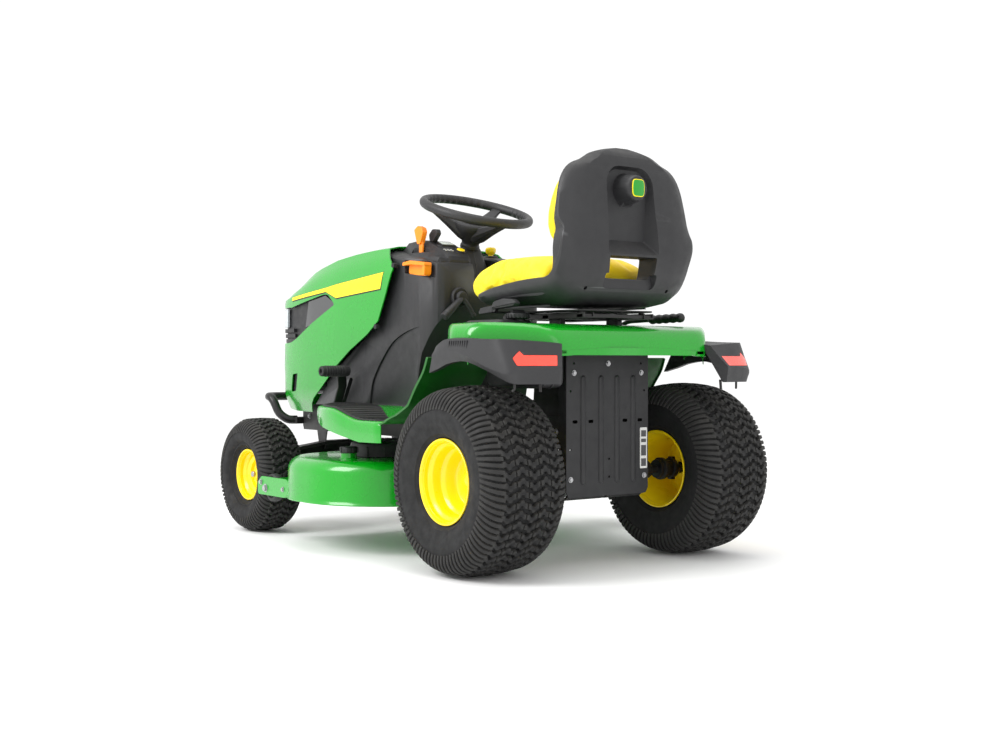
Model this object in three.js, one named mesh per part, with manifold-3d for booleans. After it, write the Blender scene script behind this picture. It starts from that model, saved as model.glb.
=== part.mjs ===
// Riding lawn mower: a lawn tractor with a two-blade side-discharge deck.
// Millimetres, +Z up. The machine faces -Y, and its left side is +X.
// Every part is drawn in the machine's own frame (origin on the ground under the rear axle, on
// the centre plane). One group then moves the whole machine so that the row's origin is the
// bottom centre of its bounding box.
import * as THREE from 'three';
import { mergeVertices } from 'three/addons/utils/BufferGeometryUtils.js';
import Module from 'manifold-3d';

const wasm = await Module();
wasm.setup();

// ---------------------------------------------------------------- driving dimensions
const GAP = 0.4;                      // running gap between touching parts
const SHEET = 4;                      // thickness of pressed and moulded panels

const REAR_TRACK = 766;
const REAR_AXLE_Z = 254;
const REAR_WHEEL = {                  // 20 x 10-8 tyre on its rim
  radius: 254, width: 260, bead: 105, flange: 116, rimHalf: 108, wall: 12 };

const WHEELBASE = 1245;
const FRONT_Y = -WHEELBASE;
const FRONT_TRACK = 780;
const FRONT_AXLE_Z = 190.5;
const FRONT_WHEEL = {                 // 15 x 6-6 tyre on its rim
  radius: 190.5, width: 156, bead: 77, flange: 87, rimHalf: 49, wall: 9 };

const AXLE_PIVOT_Z = 275;             // rocking pin of the front axle
const KINGPIN_X = 280;
const STEER_ARM = 100;                // kingpin to tie rod pin

const FRAME_X = 150;                  // outer faces of the frame rails
const FRAME_BOTTOM = 330;
const FRAME_TOP = 420;
const FRAME_FRONT = -1386;
const FRAME_REAR = 85;

const BUMPER_Y = -1535;
const BUMPER_Z = 446;
const BUMPER_R = 15;

const HOOD_BOTTOM = 400;
const CRANK_Y = -1130;                 // vertical crankshaft of the engine
const BELT_Z = 294;                    // middle of the drive belt

const DASH_HALF = 222;
const WHEEL_CENTRE = [0, -532, 1046];
const COLUMN_TILT = THREE.MathUtils.degToRad(18.5);
const WHEEL_RIM_R = 168;
const WHEEL_GRIP_R = 14;

const DECK_TOP = 279;                 // deck in its raised, transport position
const DECK_BOTTOM = 150;
const DECK_ARC_R = 285;
const DECK_FRONT_Y = -690;             // centres of the deck's front and rear arcs
const DECK_REAR_Y = -642;
const SPINDLE_X = 262;
const SPINDLE_Y = { left: -665, right: -630 };
const BLADE_LENGTH = 500;
const BLADE_Z = 178;
const CHUTE_REACH = 780;
const GAUGE_Y = -975;                  // anti-scalp wheels at the front of the deck
const GAUGE_Z = 168;
const CHUTE_HINGE_X = -560;
const CHUTE_HINGE_Z = 273;

const FENDER_HALF = 435;
const FENDER_TOP = 676;
const LIFT_LEVER_X = -300;
const PLATE_Y = 95;                   // rear face of the rear plate

const SIDES = { left: 1, right: -1 };

// The row's origin: bottom centre of the bounding box, seen from the machine's own origin.
const BOX_LEFT = SPINDLE_X - 2 + DECK_ARC_R;
const BOX_FRONT = BUMPER_Y - BUMPER_R;
const BOX_REAR = 261;
const ORIGIN_X = (BOX_LEFT - CHUTE_REACH) / 2;
const ORIGIN_Y = (BOX_FRONT + BOX_REAR) / 2;

// ---------------------------------------------------------------- finishes
const FINISHES = {
  green: { color: 0x2fb62f, roughness: 0.3, metalness: 0.0 },
  yellow: { color: 0xf5d800, roughness: 0.4, metalness: 0.0 },
  charcoal: { color: 0x35373a, roughness: 0.6, metalness: 0.0 },
  black: { color: 0x161616, roughness: 0.5, metalness: 0.2 },
  steel: { color: 0x9a9ca0, roughness: 0.35, metalness: 0.9 },
  casting: { color: 0x6f7276, roughness: 0.6, metalness: 0.7 },
  rubber: { color: 0x151515, roughness: 0.85, metalness: 0.0 },
  cushion: { color: 0xf2d500, roughness: 0.6, metalness: 0.0 },
  orange: { color: 0xf28a12, roughness: 0.4, metalness: 0.0 },
  lens_red: { color: 0xe2492f, roughness: 0.2, metalness: 0.0 },
  lens_clear: { color: 0xd5dade, roughness: 0.1, metalness: 0.0 },
};

const machine = new THREE.Group();
machine.position.set(-ORIGIN_X, -ORIGIN_Y, 0);

// ---------------------------------------------------------------- geometry helpers
function signedVolume(position, index) {
  const a = new THREE.Vector3();
  const b = new THREE.Vector3();
  const c = new THREE.Vector3();
  let sum = 0;
  for (let i = 0; i < index.count; i += 3) {
    a.fromBufferAttribute(position, index.getX(i));
    b.fromBufferAttribute(position, index.getX(i + 1));
    c.fromBufferAttribute(position, index.getX(i + 2));
    sum += a.dot(b.cross(c));
  }
  return sum;
}

// Closed three.js geometry to a solid with its faces pointing out.
function solid(geometry) {
  const bare = geometry.clone();
  bare.deleteAttribute('normal');
  bare.deleteAttribute('uv');
  const merged = mergeVertices(bare, 1e-3);
  const position = merged.attributes.position;
  const index = merged.index;
  const inward = signedVolume(position, index) < 0;
  const triVerts = [];
  for (let i = 0; i < index.count; i += 3) {
    const tri = [index.getX(i), index.getX(i + 1), index.getX(i + 2)];
    if (new Set(tri).size < 3) continue;
    if (inward) tri.reverse();
    triVerts.push(...tri);
  }
  return new wasm.Manifold(new wasm.Mesh({
    numProp: 3,
    vertProperties: new Float32Array(position.array),
    triVerts: new Uint32Array(triVerts),
  }));
}

function geometryOf(body) {
  const mesh = body.getMesh();
  const geometry = new THREE.BufferGeometry();
  const positions = new Float32Array(mesh.numVert * 3);
  for (let i = 0; i < mesh.numVert; i += 1) {
    for (let k = 0; k < 3; k += 1) {
      positions[i * 3 + k] = mesh.vertProperties[i * mesh.numProp + k];
    }
  }
  geometry.setAttribute('position', new THREE.BufferAttribute(positions, 3));
  geometry.setIndex(new THREE.BufferAttribute(new Uint32Array(mesh.triVerts), 1));
  geometry.computeVertexNormals();
  return geometry;
}

function join(first, ...others) {
  return others.reduce((sum, other) => sum.add(other), first);
}

function cut(first, ...tools) {
  return tools.reduce((rest, tool) => rest.subtract(tool), first);
}

// Box between two corners, given in any order.
function box(x0, x1, y0, y1, z0, z1) {
  const size = [Math.abs(x1 - x0), Math.abs(y1 - y0), Math.abs(z1 - z0)];
  const geometry = new THREE.BoxGeometry(...size);
  geometry.translate((x0 + x1) / 2, (y0 + y1) / 2, (z0 + z1) / 2);
  return solid(geometry);
}

// Round bar from a to b.
function rod(a, b, radius, sides = 16) {
  const start = new THREE.Vector3(...a);
  const end = new THREE.Vector3(...b);
  const axis = end.clone().sub(start);
  const geometry = new THREE.CylinderGeometry(radius, radius, axis.length(), sides);
  const turn = new THREE.Quaternion().setFromUnitVectors(
    new THREE.Vector3(0, 1, 0), axis.clone().normalize());
  geometry.applyQuaternion(turn);
  geometry.translate(...start.add(end).multiplyScalar(0.5).toArray());
  return solid(geometry);
}

// Flat outline swept along one axis. The outline is (y, z) for x, (x, z) for y, (x, y) for z.
function slab(axis, outline, from, to) {
  const shape = new THREE.Shape(outline.map(([u, v]) => new THREE.Vector2(u, v)));
  const depth = Math.abs(to - from);
  const geometry = new THREE.ExtrudeGeometry(shape, { depth, bevelEnabled: false });
  const frames = {
    x: new THREE.Matrix4().makeBasis(
      new THREE.Vector3(0, 1, 0), new THREE.Vector3(0, 0, 1), new THREE.Vector3(1, 0, 0)),
    y: new THREE.Matrix4().makeBasis(
      new THREE.Vector3(1, 0, 0), new THREE.Vector3(0, 0, 1), new THREE.Vector3(0, 1, 0)),
    z: new THREE.Matrix4(),
  };
  geometry.applyMatrix4(frames[axis]);
  const low = Math.min(from, to);
  geometry.translate(axis === 'x' ? low : 0, axis === 'y' ? low : 0, axis === 'z' ? low : 0);
  return solid(geometry);
}

// Round tube through the points, with smoothed bends.
function tube(points, radius, { sides = 10, steps = 24, tension = 0.3 } = {}) {
  const path = new THREE.CatmullRomCurve3(
    points.map((p) => new THREE.Vector3(...p)), false, 'catmullrom', tension);
  const section = new THREE.Shape(arc(0, 0, radius, 0, 360 - 360 / sides, sides - 1)
    .map(([u, v]) => new THREE.Vector2(u, v)));
  return solid(new THREE.ExtrudeGeometry(section, { extrudePath: path, steps }));
}

// Turned profile of [radius, height] points about an axis through a centre. The profile starts
// and ends on the axis or comes back to its first point. flats puts a facet at the bottom, with
// the facets outside the true circle.
function turned(profile, axis, centre, segments = 24, flats = false) {
  const stretch = flats ? 1 / Math.cos(Math.PI / segments) : 1;
  const points = profile.map(([r, h]) => new THREE.Vector2(r * stretch, h));
  const phase = flats ? Math.PI / segments : 0;
  const geometry = new THREE.LatheGeometry(points, segments, phase);
  if (axis === 'x') geometry.rotateZ(-Math.PI / 2);
  if (axis === 'z') geometry.rotateX(Math.PI / 2);
  geometry.translate(...centre);
  return solid(geometry);
}

function arc(u, v, radius, fromDeg, toDeg, steps) {
  const points = [];
  for (let i = 0; i <= steps; i += 1) {
    const angle = THREE.MathUtils.degToRad(fromDeg + ((toDeg - fromDeg) * i) / steps);
    points.push([u + radius * Math.cos(angle), v + radius * Math.sin(angle)]);
  }
  return points;
}

// The outline moved inwards (counter-clockwise points) by a distance, with its corners kept.
function insetOutline(points, distance) {
  const area = points.reduce((sum, [u, v], i) => {
    const [p, q] = points[(i + 1) % points.length];
    return sum + u * q - p * v;
  }, 0);
  const turn = Math.sign(area);
  return points.map((point, i) => {
    const before = points[(i + points.length - 1) % points.length];
    const after = points[(i + 1) % points.length];
    const a = new THREE.Vector2(point[0] - before[0], point[1] - before[1]).normalize();
    const b = new THREE.Vector2(after[0] - point[0], after[1] - point[1]).normalize();
    const normal = new THREE.Vector2(-a.y - b.y, a.x + b.x).normalize();
    const reach = (distance * turn) / (normal.x * -a.y + normal.y * a.x);
    return [point[0] + normal.x * reach, point[1] + normal.y * reach];
  });
}

function roundedRectangle(u0, u1, v0, v1, radius, steps = 4) {
  return [
    ...arc(u1 - radius, v0 + radius, radius, -90, 0, steps),
    ...arc(u1 - radius, v1 - radius, radius, 0, 90, steps),
    ...arc(u0 + radius, v1 - radius, radius, 90, 180, steps),
    ...arc(u0 + radius, v0 + radius, radius, 180, 270, steps),
  ];
}

// Solid skinned over closed rings of points; every ring has the same number of points, and the
// two end rings are flat.
function skinned(rings) {
  const count = rings[0].length;
  const last = rings.length - 1;
  const index = [];
  for (let r = 0; r < last; r += 1) {
    for (let i = 0; i < count; i += 1) {
      const a = r * count + i;
      const b = r * count + ((i + 1) % count);
      index.push(a, b, b + count, a, b + count, a + count);
    }
  }
  [0, last].forEach((r) => {
    cap(rings[r]).forEach(([a, b, c]) => {
      const corners = r === 0 ? [a, c, b] : [a, b, c];
      index.push(...corners.map((k) => r * count + k));
    });
  });
  const geometry = new THREE.BufferGeometry();
  geometry.setAttribute('position', new THREE.BufferAttribute(
    new Float32Array(rings.flat(2)), 3));
  geometry.setIndex(index);
  return solid(geometry);
}

// Triangles that fill a flat ring and run round it the same way as its points do.
function cap(ring) {
  const normal = [0, 1, 2].map((k) => ring.reduce((sum, p, i) => {
    const q = ring[(i + 1) % ring.length];
    const [a, b] = [(k + 1) % 3, (k + 2) % 3];
    return sum + p[a] * q[b] - p[b] * q[a];
  }, 0));
  const across = [0, 1, 2].reduce((best, k) => (
    Math.abs(normal[k]) > Math.abs(normal[best]) ? k : best), 0);
  const [u, v] = [0, 1, 2].filter((k) => k !== across);
  const contour = ring.map((p) => new THREE.Vector2(p[u], p[v]));
  const turn = Math.sign(THREE.ShapeUtils.area(contour));
  return THREE.ShapeUtils.triangulateShape(contour, []).map(([a, b, c]) => {
    const same = Math.sign(THREE.ShapeUtils.area([contour[a], contour[b], contour[c]])) === turn;
    return same ? [a, b, c] : [a, c, b];
  });
}

// Straight-line value between the knots [t, value] of a table.
function ramp(knots, t) {
  if (t <= knots[0][0]) return knots[0][1];
  for (let i = 0; i + 1 < knots.length; i += 1) {
    const [t0, v0] = knots[i];
    const [t1, v1] = knots[i + 1];
    if (t <= t1) return v0 + ((v1 - v0) * (t - t0)) / (t1 - t0);
  }
  return knots[knots.length - 1][1];
}

function add(name, body, finish, parent = machine) {
  const mesh = new THREE.Mesh(geometryOf(body), new THREE.MeshStandardMaterial(FINISHES[finish]));
  mesh.name = name;
  parent.add(mesh);
  return mesh;
}

// ---------------------------------------------------------------- frame and drive
function chassisFrame() {
  const rails = [1, -1].map((s) => box(
    s * (FRAME_X - 10), s * FRAME_X, FRAME_FRONT, FRAME_REAR, FRAME_BOTTOM, FRAME_TOP));
  const crossY = [FRAME_FRONT, -960, -470, FRAME_REAR - 10];
  const crosses = crossY.map((y) => box(
    -FRAME_X, FRAME_X, y, y + 10, FRAME_BOTTOM, FRAME_TOP));
  const enginePlate = box(-FRAME_X, FRAME_X, -1330, -955, FRAME_TOP - 6, FRAME_TOP);
  const hangers = [FRONT_Y - 46, FRONT_Y + 38].map((y) => slab('y', [
    [-FRAME_X, FRAME_BOTTOM + 5], [-50, AXLE_PIVOT_Z - 20], [50, AXLE_PIVOT_Z - 20],
    [FRAME_X, FRAME_BOTTOM + 5]], y, y + 8));
  const pin = rod([0, FRONT_Y - 40, AXLE_PIVOT_Z], [0, FRONT_Y + 40, AXLE_PIVOT_Z], 9);
  const risers = [1, -1].map((s) => box(
    s * 100, s * (FRAME_X - 4), -60, 60, FRAME_TOP - 5, 628));
  const riserTie = box(-FRAME_X + 4, FRAME_X - 4, -40, 40, 620, 628);
  const crankHole = rod([0, CRANK_Y, 400], [0, CRANK_Y, 440], 30, 12);
  return cut(join(...rails, ...crosses, enginePlate, ...hangers, pin, ...risers, riserTie),
    crankHole);
}

function rearPlate() {
  const half = 151;
  const bottom = 198;
  const top = 592;
  const sheet = slab('y', [
    [-half, bottom], [half, bottom], [half, top], [-half, top]], PLATE_Y - 5, PLATE_Y);
  const lip = box(-half + 8, half - 8, PLATE_Y - 30, PLATE_Y - 2, bottom, bottom + 5);
  const ribs = [-94, -33, 26, 91].map((x) => slab('y', [
    [x - 7, 236], [x + 7, 236], [x + 7, 520], [x, 534], [x - 7, 520]],
  PLATE_Y - 1, PLATE_Y + 4));
  const slots = [-120, -63, 63, 120].map((x) => box(
    x - 7, x + 7, PLATE_Y - 20, PLATE_Y + 20, 401, 411));
  return cut(join(sheet, lip, ...ribs), ...slots);
}

function frontBumper() {
  const leg = (s) => [
    [s * 165, FRAME_FRONT - 22, 362],
    [s * 200, -1425, 366],
    [s * 222, -1444, 392],
    [s * 229, -1462, 428],
    [s * 230, -1492, 445],
    [s * 216, -1522, BUMPER_Z],
    [s * 188, BUMPER_Y, BUMPER_Z],
  ];
  const path = [...leg(1), [0, BUMPER_Y, BUMPER_Z], ...leg(-1).reverse()];
  const plate = box(-FRAME_X, FRAME_X, FRAME_FRONT - 8, FRAME_FRONT - GAP, 335, 412);
  const ears = [1, -1].map((s) => box(
    s * 120, s * 172, FRAME_FRONT - 30, FRAME_FRONT - 7, 350, 374));
  return join(tube(path, BUMPER_R, { sides: 8, steps: 32 }), plate, ...ears);
}

function transaxle() {
  const housing = box(-100, 100, -85, 55, 192, 280);
  const tubes = [1, -1].map((s) => rod(
    [s * 90, 0, REAR_AXLE_Z], [s * 236, 0, REAR_AXLE_Z], 26, 16));
  const bores = [1, -1].map((s) => rod(
    [s * 150, 0, REAR_AXLE_Z], [s * 250, 0, REAR_AXLE_Z], 14, 16));
  const pump = box(-55, 75, -120, -60, 205, 270);
  const pulley = turned([[0, -6], [80, -6], [72, 0], [80, 6], [0, 6]],
    'z', [0, -20, BELT_Z], 20);
  const inputShaft = rod([0, -20, 275], [0, -20, BELT_Z], 12, 12);
  return cut(join(housing, ...tubes, pump, pulley, inputShaft), ...bores);
}

function engineBlock() {
  const crankcase = box(-150, 150, -1285, -1000, FRAME_TOP + GAP, 560);
  const cylinders = [1, -1].map((s) => rod(
    [s * 60, -1200, 490], [s * 130, -1250, 560], 48, 12));
  const shroud = turned([[0, 0], [145, 0], [145, 60], [118, 85], [0, 85]],
    'z', [0, CRANK_Y, 558], 20);
  const filter = box(-140, 140, -1080, -985, 556, 690);
  const sump = rod([0, CRANK_Y, 384], [0, CRANK_Y, FRAME_TOP + 5], 26, 16);
  return join(crankcase, ...cylinders, shroud, filter, sump);
}

// Crankshaft end with the drive pulley and, below it, the blade clutch pulley.
function enginePulley() {
  const groove = (z) => [[58, z - 6], [52, z], [58, z + 6]];
  const profile = [[0, 260], ...groove(268), [28, 274], [28, 288], ...groove(BELT_Z),
    [12, 300], [12, 383], [0, 383]];
  return turned(profile, 'z', [0, CRANK_Y, 0], 16);
}

function muffler() {
  const can = rod([-130, -1345, 500], [130, -1345, 500], 42, 12);
  const stub = tube([[-100, -1345, 470], [-100, -1350, 440], [-100, -1372, 428]], 14,
    { sides: 8, steps: 6 });
  return join(can, stub);
}

// Belt around two pulleys on the centre plane.
function driveBelt() {
  const outline = (grow) => [
    ...arc(0, CRANK_Y, 57 + grow, 180, 360, 8),
    ...arc(0, -20, 78 + grow, 0, 180, 8),
  ];
  const belt = slab('z', outline(8), BELT_Z - 2, BELT_Z + 2);
  return cut(belt, slab('z', outline(0), BELT_Z - 10, BELT_Z + 10));
}

function fuelTank() {
  const tank = slab('x', roundedRectangle(-150, 110, 500, 618, 25, 3), 168, 246);
  const neck = rod([215, -40, 610], [215, -40, 690], 22, 16);
  return join(tank, neck);
}

function fuelCap() {
  return turned([[0, -8], [34, -8], [34, 10], [26, 16], [0, 18]], 'z', [215, -40, 699], 20);
}

// ---------------------------------------------------------------- wheels
// A tyre is an open-bellied ring, so its section is a C that opens on the rim.
function tyre(size, centre, segments) {
  const { radius, width, bead, flange, rimHalf, wall } = size;
  const half = width / 2;
  const seat = rimHalf - 6;
  const outer = [
    [bead, seat], [flange + 3, seat], [flange + 16, half - 6], [radius - 40, half],
    [radius, half * 0.7]];
  const inner = [[radius - wall, half * 0.62], [bead, seat - wall]];
  const flip = (points) => points.map(([r, h]) => [r, -h]).reverse();
  const loop = [...outer, ...flip(outer), ...flip(inner), ...inner];
  return turned([...loop, loop[0]], 'x', centre, segments, true);
}

// Dished wheel rim. out is +1 when its outer face looks along +X.
function rim(out, size, hub, centre, segments) {
  const { bead, flange, rimHalf } = size;
  const inner = bead - 9;
  const section = [
    [hub.bore, hub.out], [hub.r, hub.out], [hub.r, hub.disc + 5], [inner - 12, hub.disc + 5],
    [inner, hub.disc + 20], [inner, rimHalf], [flange, rimHalf], [bead - GAP, rimHalf - 5],
    [bead - GAP, 5 - rimHalf], [flange, -rimHalf],
    [inner, -rimHalf], [inner - 12, hub.disc], [hub.r, hub.disc],
    [hub.r, hub.in], [hub.bore, hub.in]];
  const profile = [...section, section[0]].map(([r, h]) => [r, h * out]);
  return turned(profile, 'x', centre, segments, true);
}

function rearWheel(side) {
  const s = SIDES[side];
  const centre = [(s * REAR_TRACK) / 2, 0, REAR_AXLE_Z];
  const hub = { bore: 13.5, r: 40, out: 26, disc: 12, in: -40 };
  add(`rear_tyre_${side}`, tyre(REAR_WHEEL, centre, 24), 'rubber');
  add(`rear_rim_${side}`, rim(s, REAR_WHEEL, hub, centre, 24), 'yellow');
  const x = (offset) => s * (REAR_TRACK / 2 + offset);
  const shaft = rod([s * 153, 0, REAR_AXLE_Z], [x(40), 0, REAR_AXLE_Z], 12.4, 16);
  const collar = rod([x(-44), 0, REAR_AXLE_Z], [x(-110), 0, REAR_AXLE_Z], 30, 16);
  const cap = turned([[0, 0], [24, 0], [24, 8], [0, 16]].map(([r, h]) => [r, h * s]),
    'x', [x(30), 0, REAR_AXLE_Z], 16);
  add(`rear_axle_shaft_${side}`, join(shaft, collar, cap), 'steel');
}

function frontWheel(side) {
  const s = SIDES[side];
  const centre = [(s * FRONT_TRACK) / 2, FRONT_Y, FRONT_AXLE_Z];
  const hub = { bore: 11, r: 26, out: 24, disc: -6, in: -42 };
  add(`front_tyre_${side}`, tyre(FRONT_WHEEL, centre, 20), 'rubber');
  add(`front_rim_${side}`, rim(s, FRONT_WHEEL, hub, centre, 20), 'yellow');
}

// ---------------------------------------------------------------- front axle and steering
function frontAxle() {
  const beam = slab('y', [
    [-KINGPIN_X - 18, 232], [-KINGPIN_X + 20, 232], [-120, 254], [120, 254],
    [KINGPIN_X - 20, 232], [KINGPIN_X + 18, 232], [KINGPIN_X + 18, 276],
    [KINGPIN_X - 20, 276], [120, 296], [-120, 296], [-KINGPIN_X + 20, 276],
    [-KINGPIN_X - 18, 276]], FRONT_Y - 24, FRONT_Y + 24);
  const pinBore = rod([0, FRONT_Y - 50, AXLE_PIVOT_Z], [0, FRONT_Y + 50, AXLE_PIVOT_Z], 9.5);
  const kingBores = [1, -1].map((s) => rod(
    [s * KINGPIN_X, FRONT_Y, 200], [s * KINGPIN_X, FRONT_Y, 300], 9.5));
  return cut(beam, pinBore, ...kingBores);
}

function spindle(side) {
  const s = SIDES[side];
  const king = rod([s * KINGPIN_X, FRONT_Y, 180], [s * KINGPIN_X, FRONT_Y, 292], 9);
  const knuckle = box(s * (KINGPIN_X - 17), s * (KINGPIN_X + 19), FRONT_Y - 17, FRONT_Y + 17,
    174, 228);
  const end = FRONT_TRACK / 2 + 34;
  const stub = rod([s * KINGPIN_X, FRONT_Y, FRONT_AXLE_Z], [s * end, FRONT_Y, FRONT_AXLE_Z], 10);
  const arm = box(s * (KINGPIN_X - 14), s * (KINGPIN_X + 10), FRONT_Y, FRONT_Y + STEER_ARM + 12,
    214, 222);
  return join(king, knuckle, stub, arm);
}

function tieRod() {
  const y = FRONT_Y + STEER_ARM;
  const z = 238;
  const bar = rod([-KINGPIN_X + 6, y, z], [KINGPIN_X - 6, y, z], 7, 12);
  const ends = [1, -1].map((s) => rod(
    [s * (KINGPIN_X - 4), y, z - 9], [s * (KINGPIN_X - 4), y, z + 9], 10, 12));
  return join(bar, ...ends);
}

// Steering wheel and shaft are drawn about the column's own axis, with the wheel at height 0.
function steeringWheel() {
  const ring = solid(new THREE.TorusGeometry(WHEEL_RIM_R, WHEEL_GRIP_R, 6, 32));
  const hub = turned([[10, -104], [30, -104], [34, -92], [58, -52], [60, -44], [42, -40],
    [10, -40], [10, -104]], 'z', [0, 0, 0], 20);
  const spokes = [90, 210, 330].map((deg) => {
    const angle = THREE.MathUtils.degToRad(deg);
    const [c, s] = [Math.cos(angle), Math.sin(angle)];
    const across = (r, w, z) => [
      [c * r - s * w, s * r + c * w, z], [c * r + s * w, s * r - c * w, z],
      [c * r + s * w, s * r - c * w, z + 9], [c * r - s * w, s * r + c * w, z + 9]];
    return skinned([across(34, 26, -56), across(100, 20, -30), across(WHEEL_RIM_R, 17, -6)]);
  });
  return join(ring, hub, ...spokes);
}

function steeringShaft() {
  const shaft = rod([0, 0, -560], [0, 0, -46], 9.5, 12);
  const cap = turned([[0, -39.6], [38, -39.6], [34, -32], [0, -28]], 'z', [0, 0, 0], 20);
  const pinion = rod([0, 0, -574], [0, 0, -548], 24, 16);
  return join(shaft, rod([0, 0, -48], [0, 0, -38], 9.5, 12), cap, pinion);
}

// Boot of the steering column. It swells towards the driver as it goes down.
function columnCover() {
  const ring = (z, half, front, back, grow) => roundedRectangle(
    -half - grow, half + grow, front - grow, back + grow, 16, 3).map(([x, y]) => [x, y, z]);
  const body = (grow, low, high) => skinned([
    ring(low, 64, -700, -520, grow), ring(870, 52, -660, -535, grow),
    ring(high, 38, -612, -538, grow)]);
  const tunnel = turned([[0, -200], [16, -200], [16, 60], [0, 60]], 'z', [0, 0, 0], 12);
  return cut(body(0, 806, 932), body(-SHEET, 780, 926), atColumn(tunnel));
}

// A solid drawn about the column's axis, moved to the column.
function atColumn(body) {
  const geometry = geometryOf(body);
  geometry.rotateX(-COLUMN_TILT);
  geometry.translate(...WHEEL_CENTRE);
  return solid(geometry);
}

function steering() {
  const column = new THREE.Group();
  column.position.set(...WHEEL_CENTRE);
  column.rotation.x = -COLUMN_TILT;
  machine.add(column);
  add('steering_wheel', steeringWheel(), 'charcoal', column);
  add('steering_shaft', steeringShaft(), 'steel', column);
  add('column_cover', columnCover(), 'charcoal');
}

// ---------------------------------------------------------------- dash and controls
const DASH_SIDE = [
  [-1135, 426], [-560, 426], [-520, 600], [-458, 700], [-452, 760], [-452, 890],
  [-560, 936], [-705, 936], [-640, 866], [-740, 690], [-1000, 545]];
const DASH_PLAN = [
  [-222, -1200], [222, -1200], [222, -720], [205, -540], [176, -452], [-176, -452],
  [-205, -540], [-222, -720]];
const LEVER_SLOTS = [[165, -600], [125, -600]];

// Side panels, rear wall and top in one moulding, open below and towards the engine.
function dashPedestal() {
  const outer = slab('x', DASH_SIDE, -DASH_HALF - 1, DASH_HALF + 1)
    .intersect(slab('z', DASH_PLAN, 400, 1000));
  const insideSide = [
    [-1250, 380], [-564, 380], [-524, 601], [-462, 701], [-456, 761], [-456, 887],
    [-561, 932], [-1250, 932]];
  const insidePlan = insetOutline(DASH_PLAN, SHEET).map(([x, y]) => [x, y < -1000 ? -1300 : y]);
  const hollow = slab('x', insideSide, -DASH_HALF, DASH_HALF)
    .intersect(slab('z', insidePlan, 300, 1000));
  const columnSlot = box(-66, 66, -703, -430, 804, 1000);
  return cut(outer, hollow, columnSlot, ...leverSlots());
}

function leverSlots() {
  return LEVER_SLOTS.map(([x, y]) => box(x - 5, x + 5, y - 45, y + 45, 900, 1000));
}

function dashTop() {
  const plan = [[-200, -700], [200, -700], [188, -566], [-188, -566]];
  const tray = slab('z', plan, 936 + GAP, 946);
  const pod = slab('x', [[-690, 940], [-652, 940], [-656, 968], [-684, 974]], -140, 140);
  return cut(join(tray, pod), box(-66, 66, -646, -500, 900, 1000), ...leverSlots());
}

// Hand lever that comes up through a slot in the dash.
function dashLever([x, y], tip) {
  const blade = slab('x', [[y - 6, 900], [y + 6, 900], [y + 4, 972], [y - 6, 972]], x - 3, x + 3);
  const grip = slab('x', [[y - 8, 962], [y + 6, 962], [y + 12, tip], [y - 14, tip]],
    x - 8, x + 8);
  return join(blade, grip);
}

function pushKnob(axis, centre, radius, length) {
  const profile = [[0, 0], [radius * 0.5, 0], [radius * 0.5, length * 0.5],
    [radius, length * 0.55], [radius, length], [0, length]];
  return turned(profile, axis, centre, 12);
}

function parkBrakeLatch() {
  return slab('x', [[-605, 852], [-545, 846], [-540, 866], [-552, 876], [-595, 880]],
    DASH_HALF + GAP, DASH_HALF + 12);
}

// Two-armed lever in a round bezel on the rear wall of the dash.
function cruiseLever() {
  const centre = [136, -452 + GAP, 760];
  const boss = rod(centre, [136, -430, 760], 24, 16);
  const arms = [[172, 705], [100, 712]].map(([x, z]) => rod(
    [136, -438, 760], [x, -432, z], 7, 8));
  return join(boss, ...arms);
}

function brakePedal() {
  const arm = tube([[240, -1005, 372], [240, -985, 420], [244, -950, 480], [252, -915, 535]], 8,
    { sides: 8, steps: 8 });
  const pad = rod([246, -912, 541], [346, -905, 541], 17, 12);
  const boss = rod([226, -1005, 372], [252, -1005, 372], 14, 12);
  return join(arm, pad, boss);
}

// Travel pedal on an arm that turns on a cross shaft in the side of the dash.
function drivePedal(x, y) {
  const arm = rod([-(DASH_HALF + 6), y, 460], [x, y, 503], 8, 8);
  const pad = slab('x', [[y - 46, 512], [y + 40, 490], [y + 40, 500], [y - 46, 524]],
    x - 34, x + 34);
  return join(arm, pad);
}

// ---------------------------------------------------------------- hood
const HOOD_WIDTH = [[-1490, 120], [-1470, 158], [-1430, 196], [-1360, 214], [-1200, 232],
  [-1000, 242], [-600, 250]];
const HOOD_CREST = [[-1490, 760], [-1470, 792], [-1430, 818], [-1360, 852], [-1200, 905],
  [-1000, 938], [-800, 948], [-600, 930]];
const HOOD_STATIONS = [-1486, -1472, -1430, -1360, -1200, -1000, -800, -610];

function hoodRing(y, inset, bottom) {
  const half = ramp(HOOD_WIDTH, y) - inset;
  const crest = ramp(HOOD_CREST, y) - inset;
  const shoulder = 70;
  const side = [[half - 6, bottom], [half, 620], [half - 4, crest - shoulder - 28]];
  const crown = [[half - 16, crest - shoulder + 8], [half - 44, crest - 26], [half * 0.5, crest - 6]];
  const right = [...side, ...crown];
  const left = right.map(([x, z]) => [-x, z]).reverse();
  return [...right, [0, crest], ...left].map(([x, z]) => [x, y, z]);
}

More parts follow.
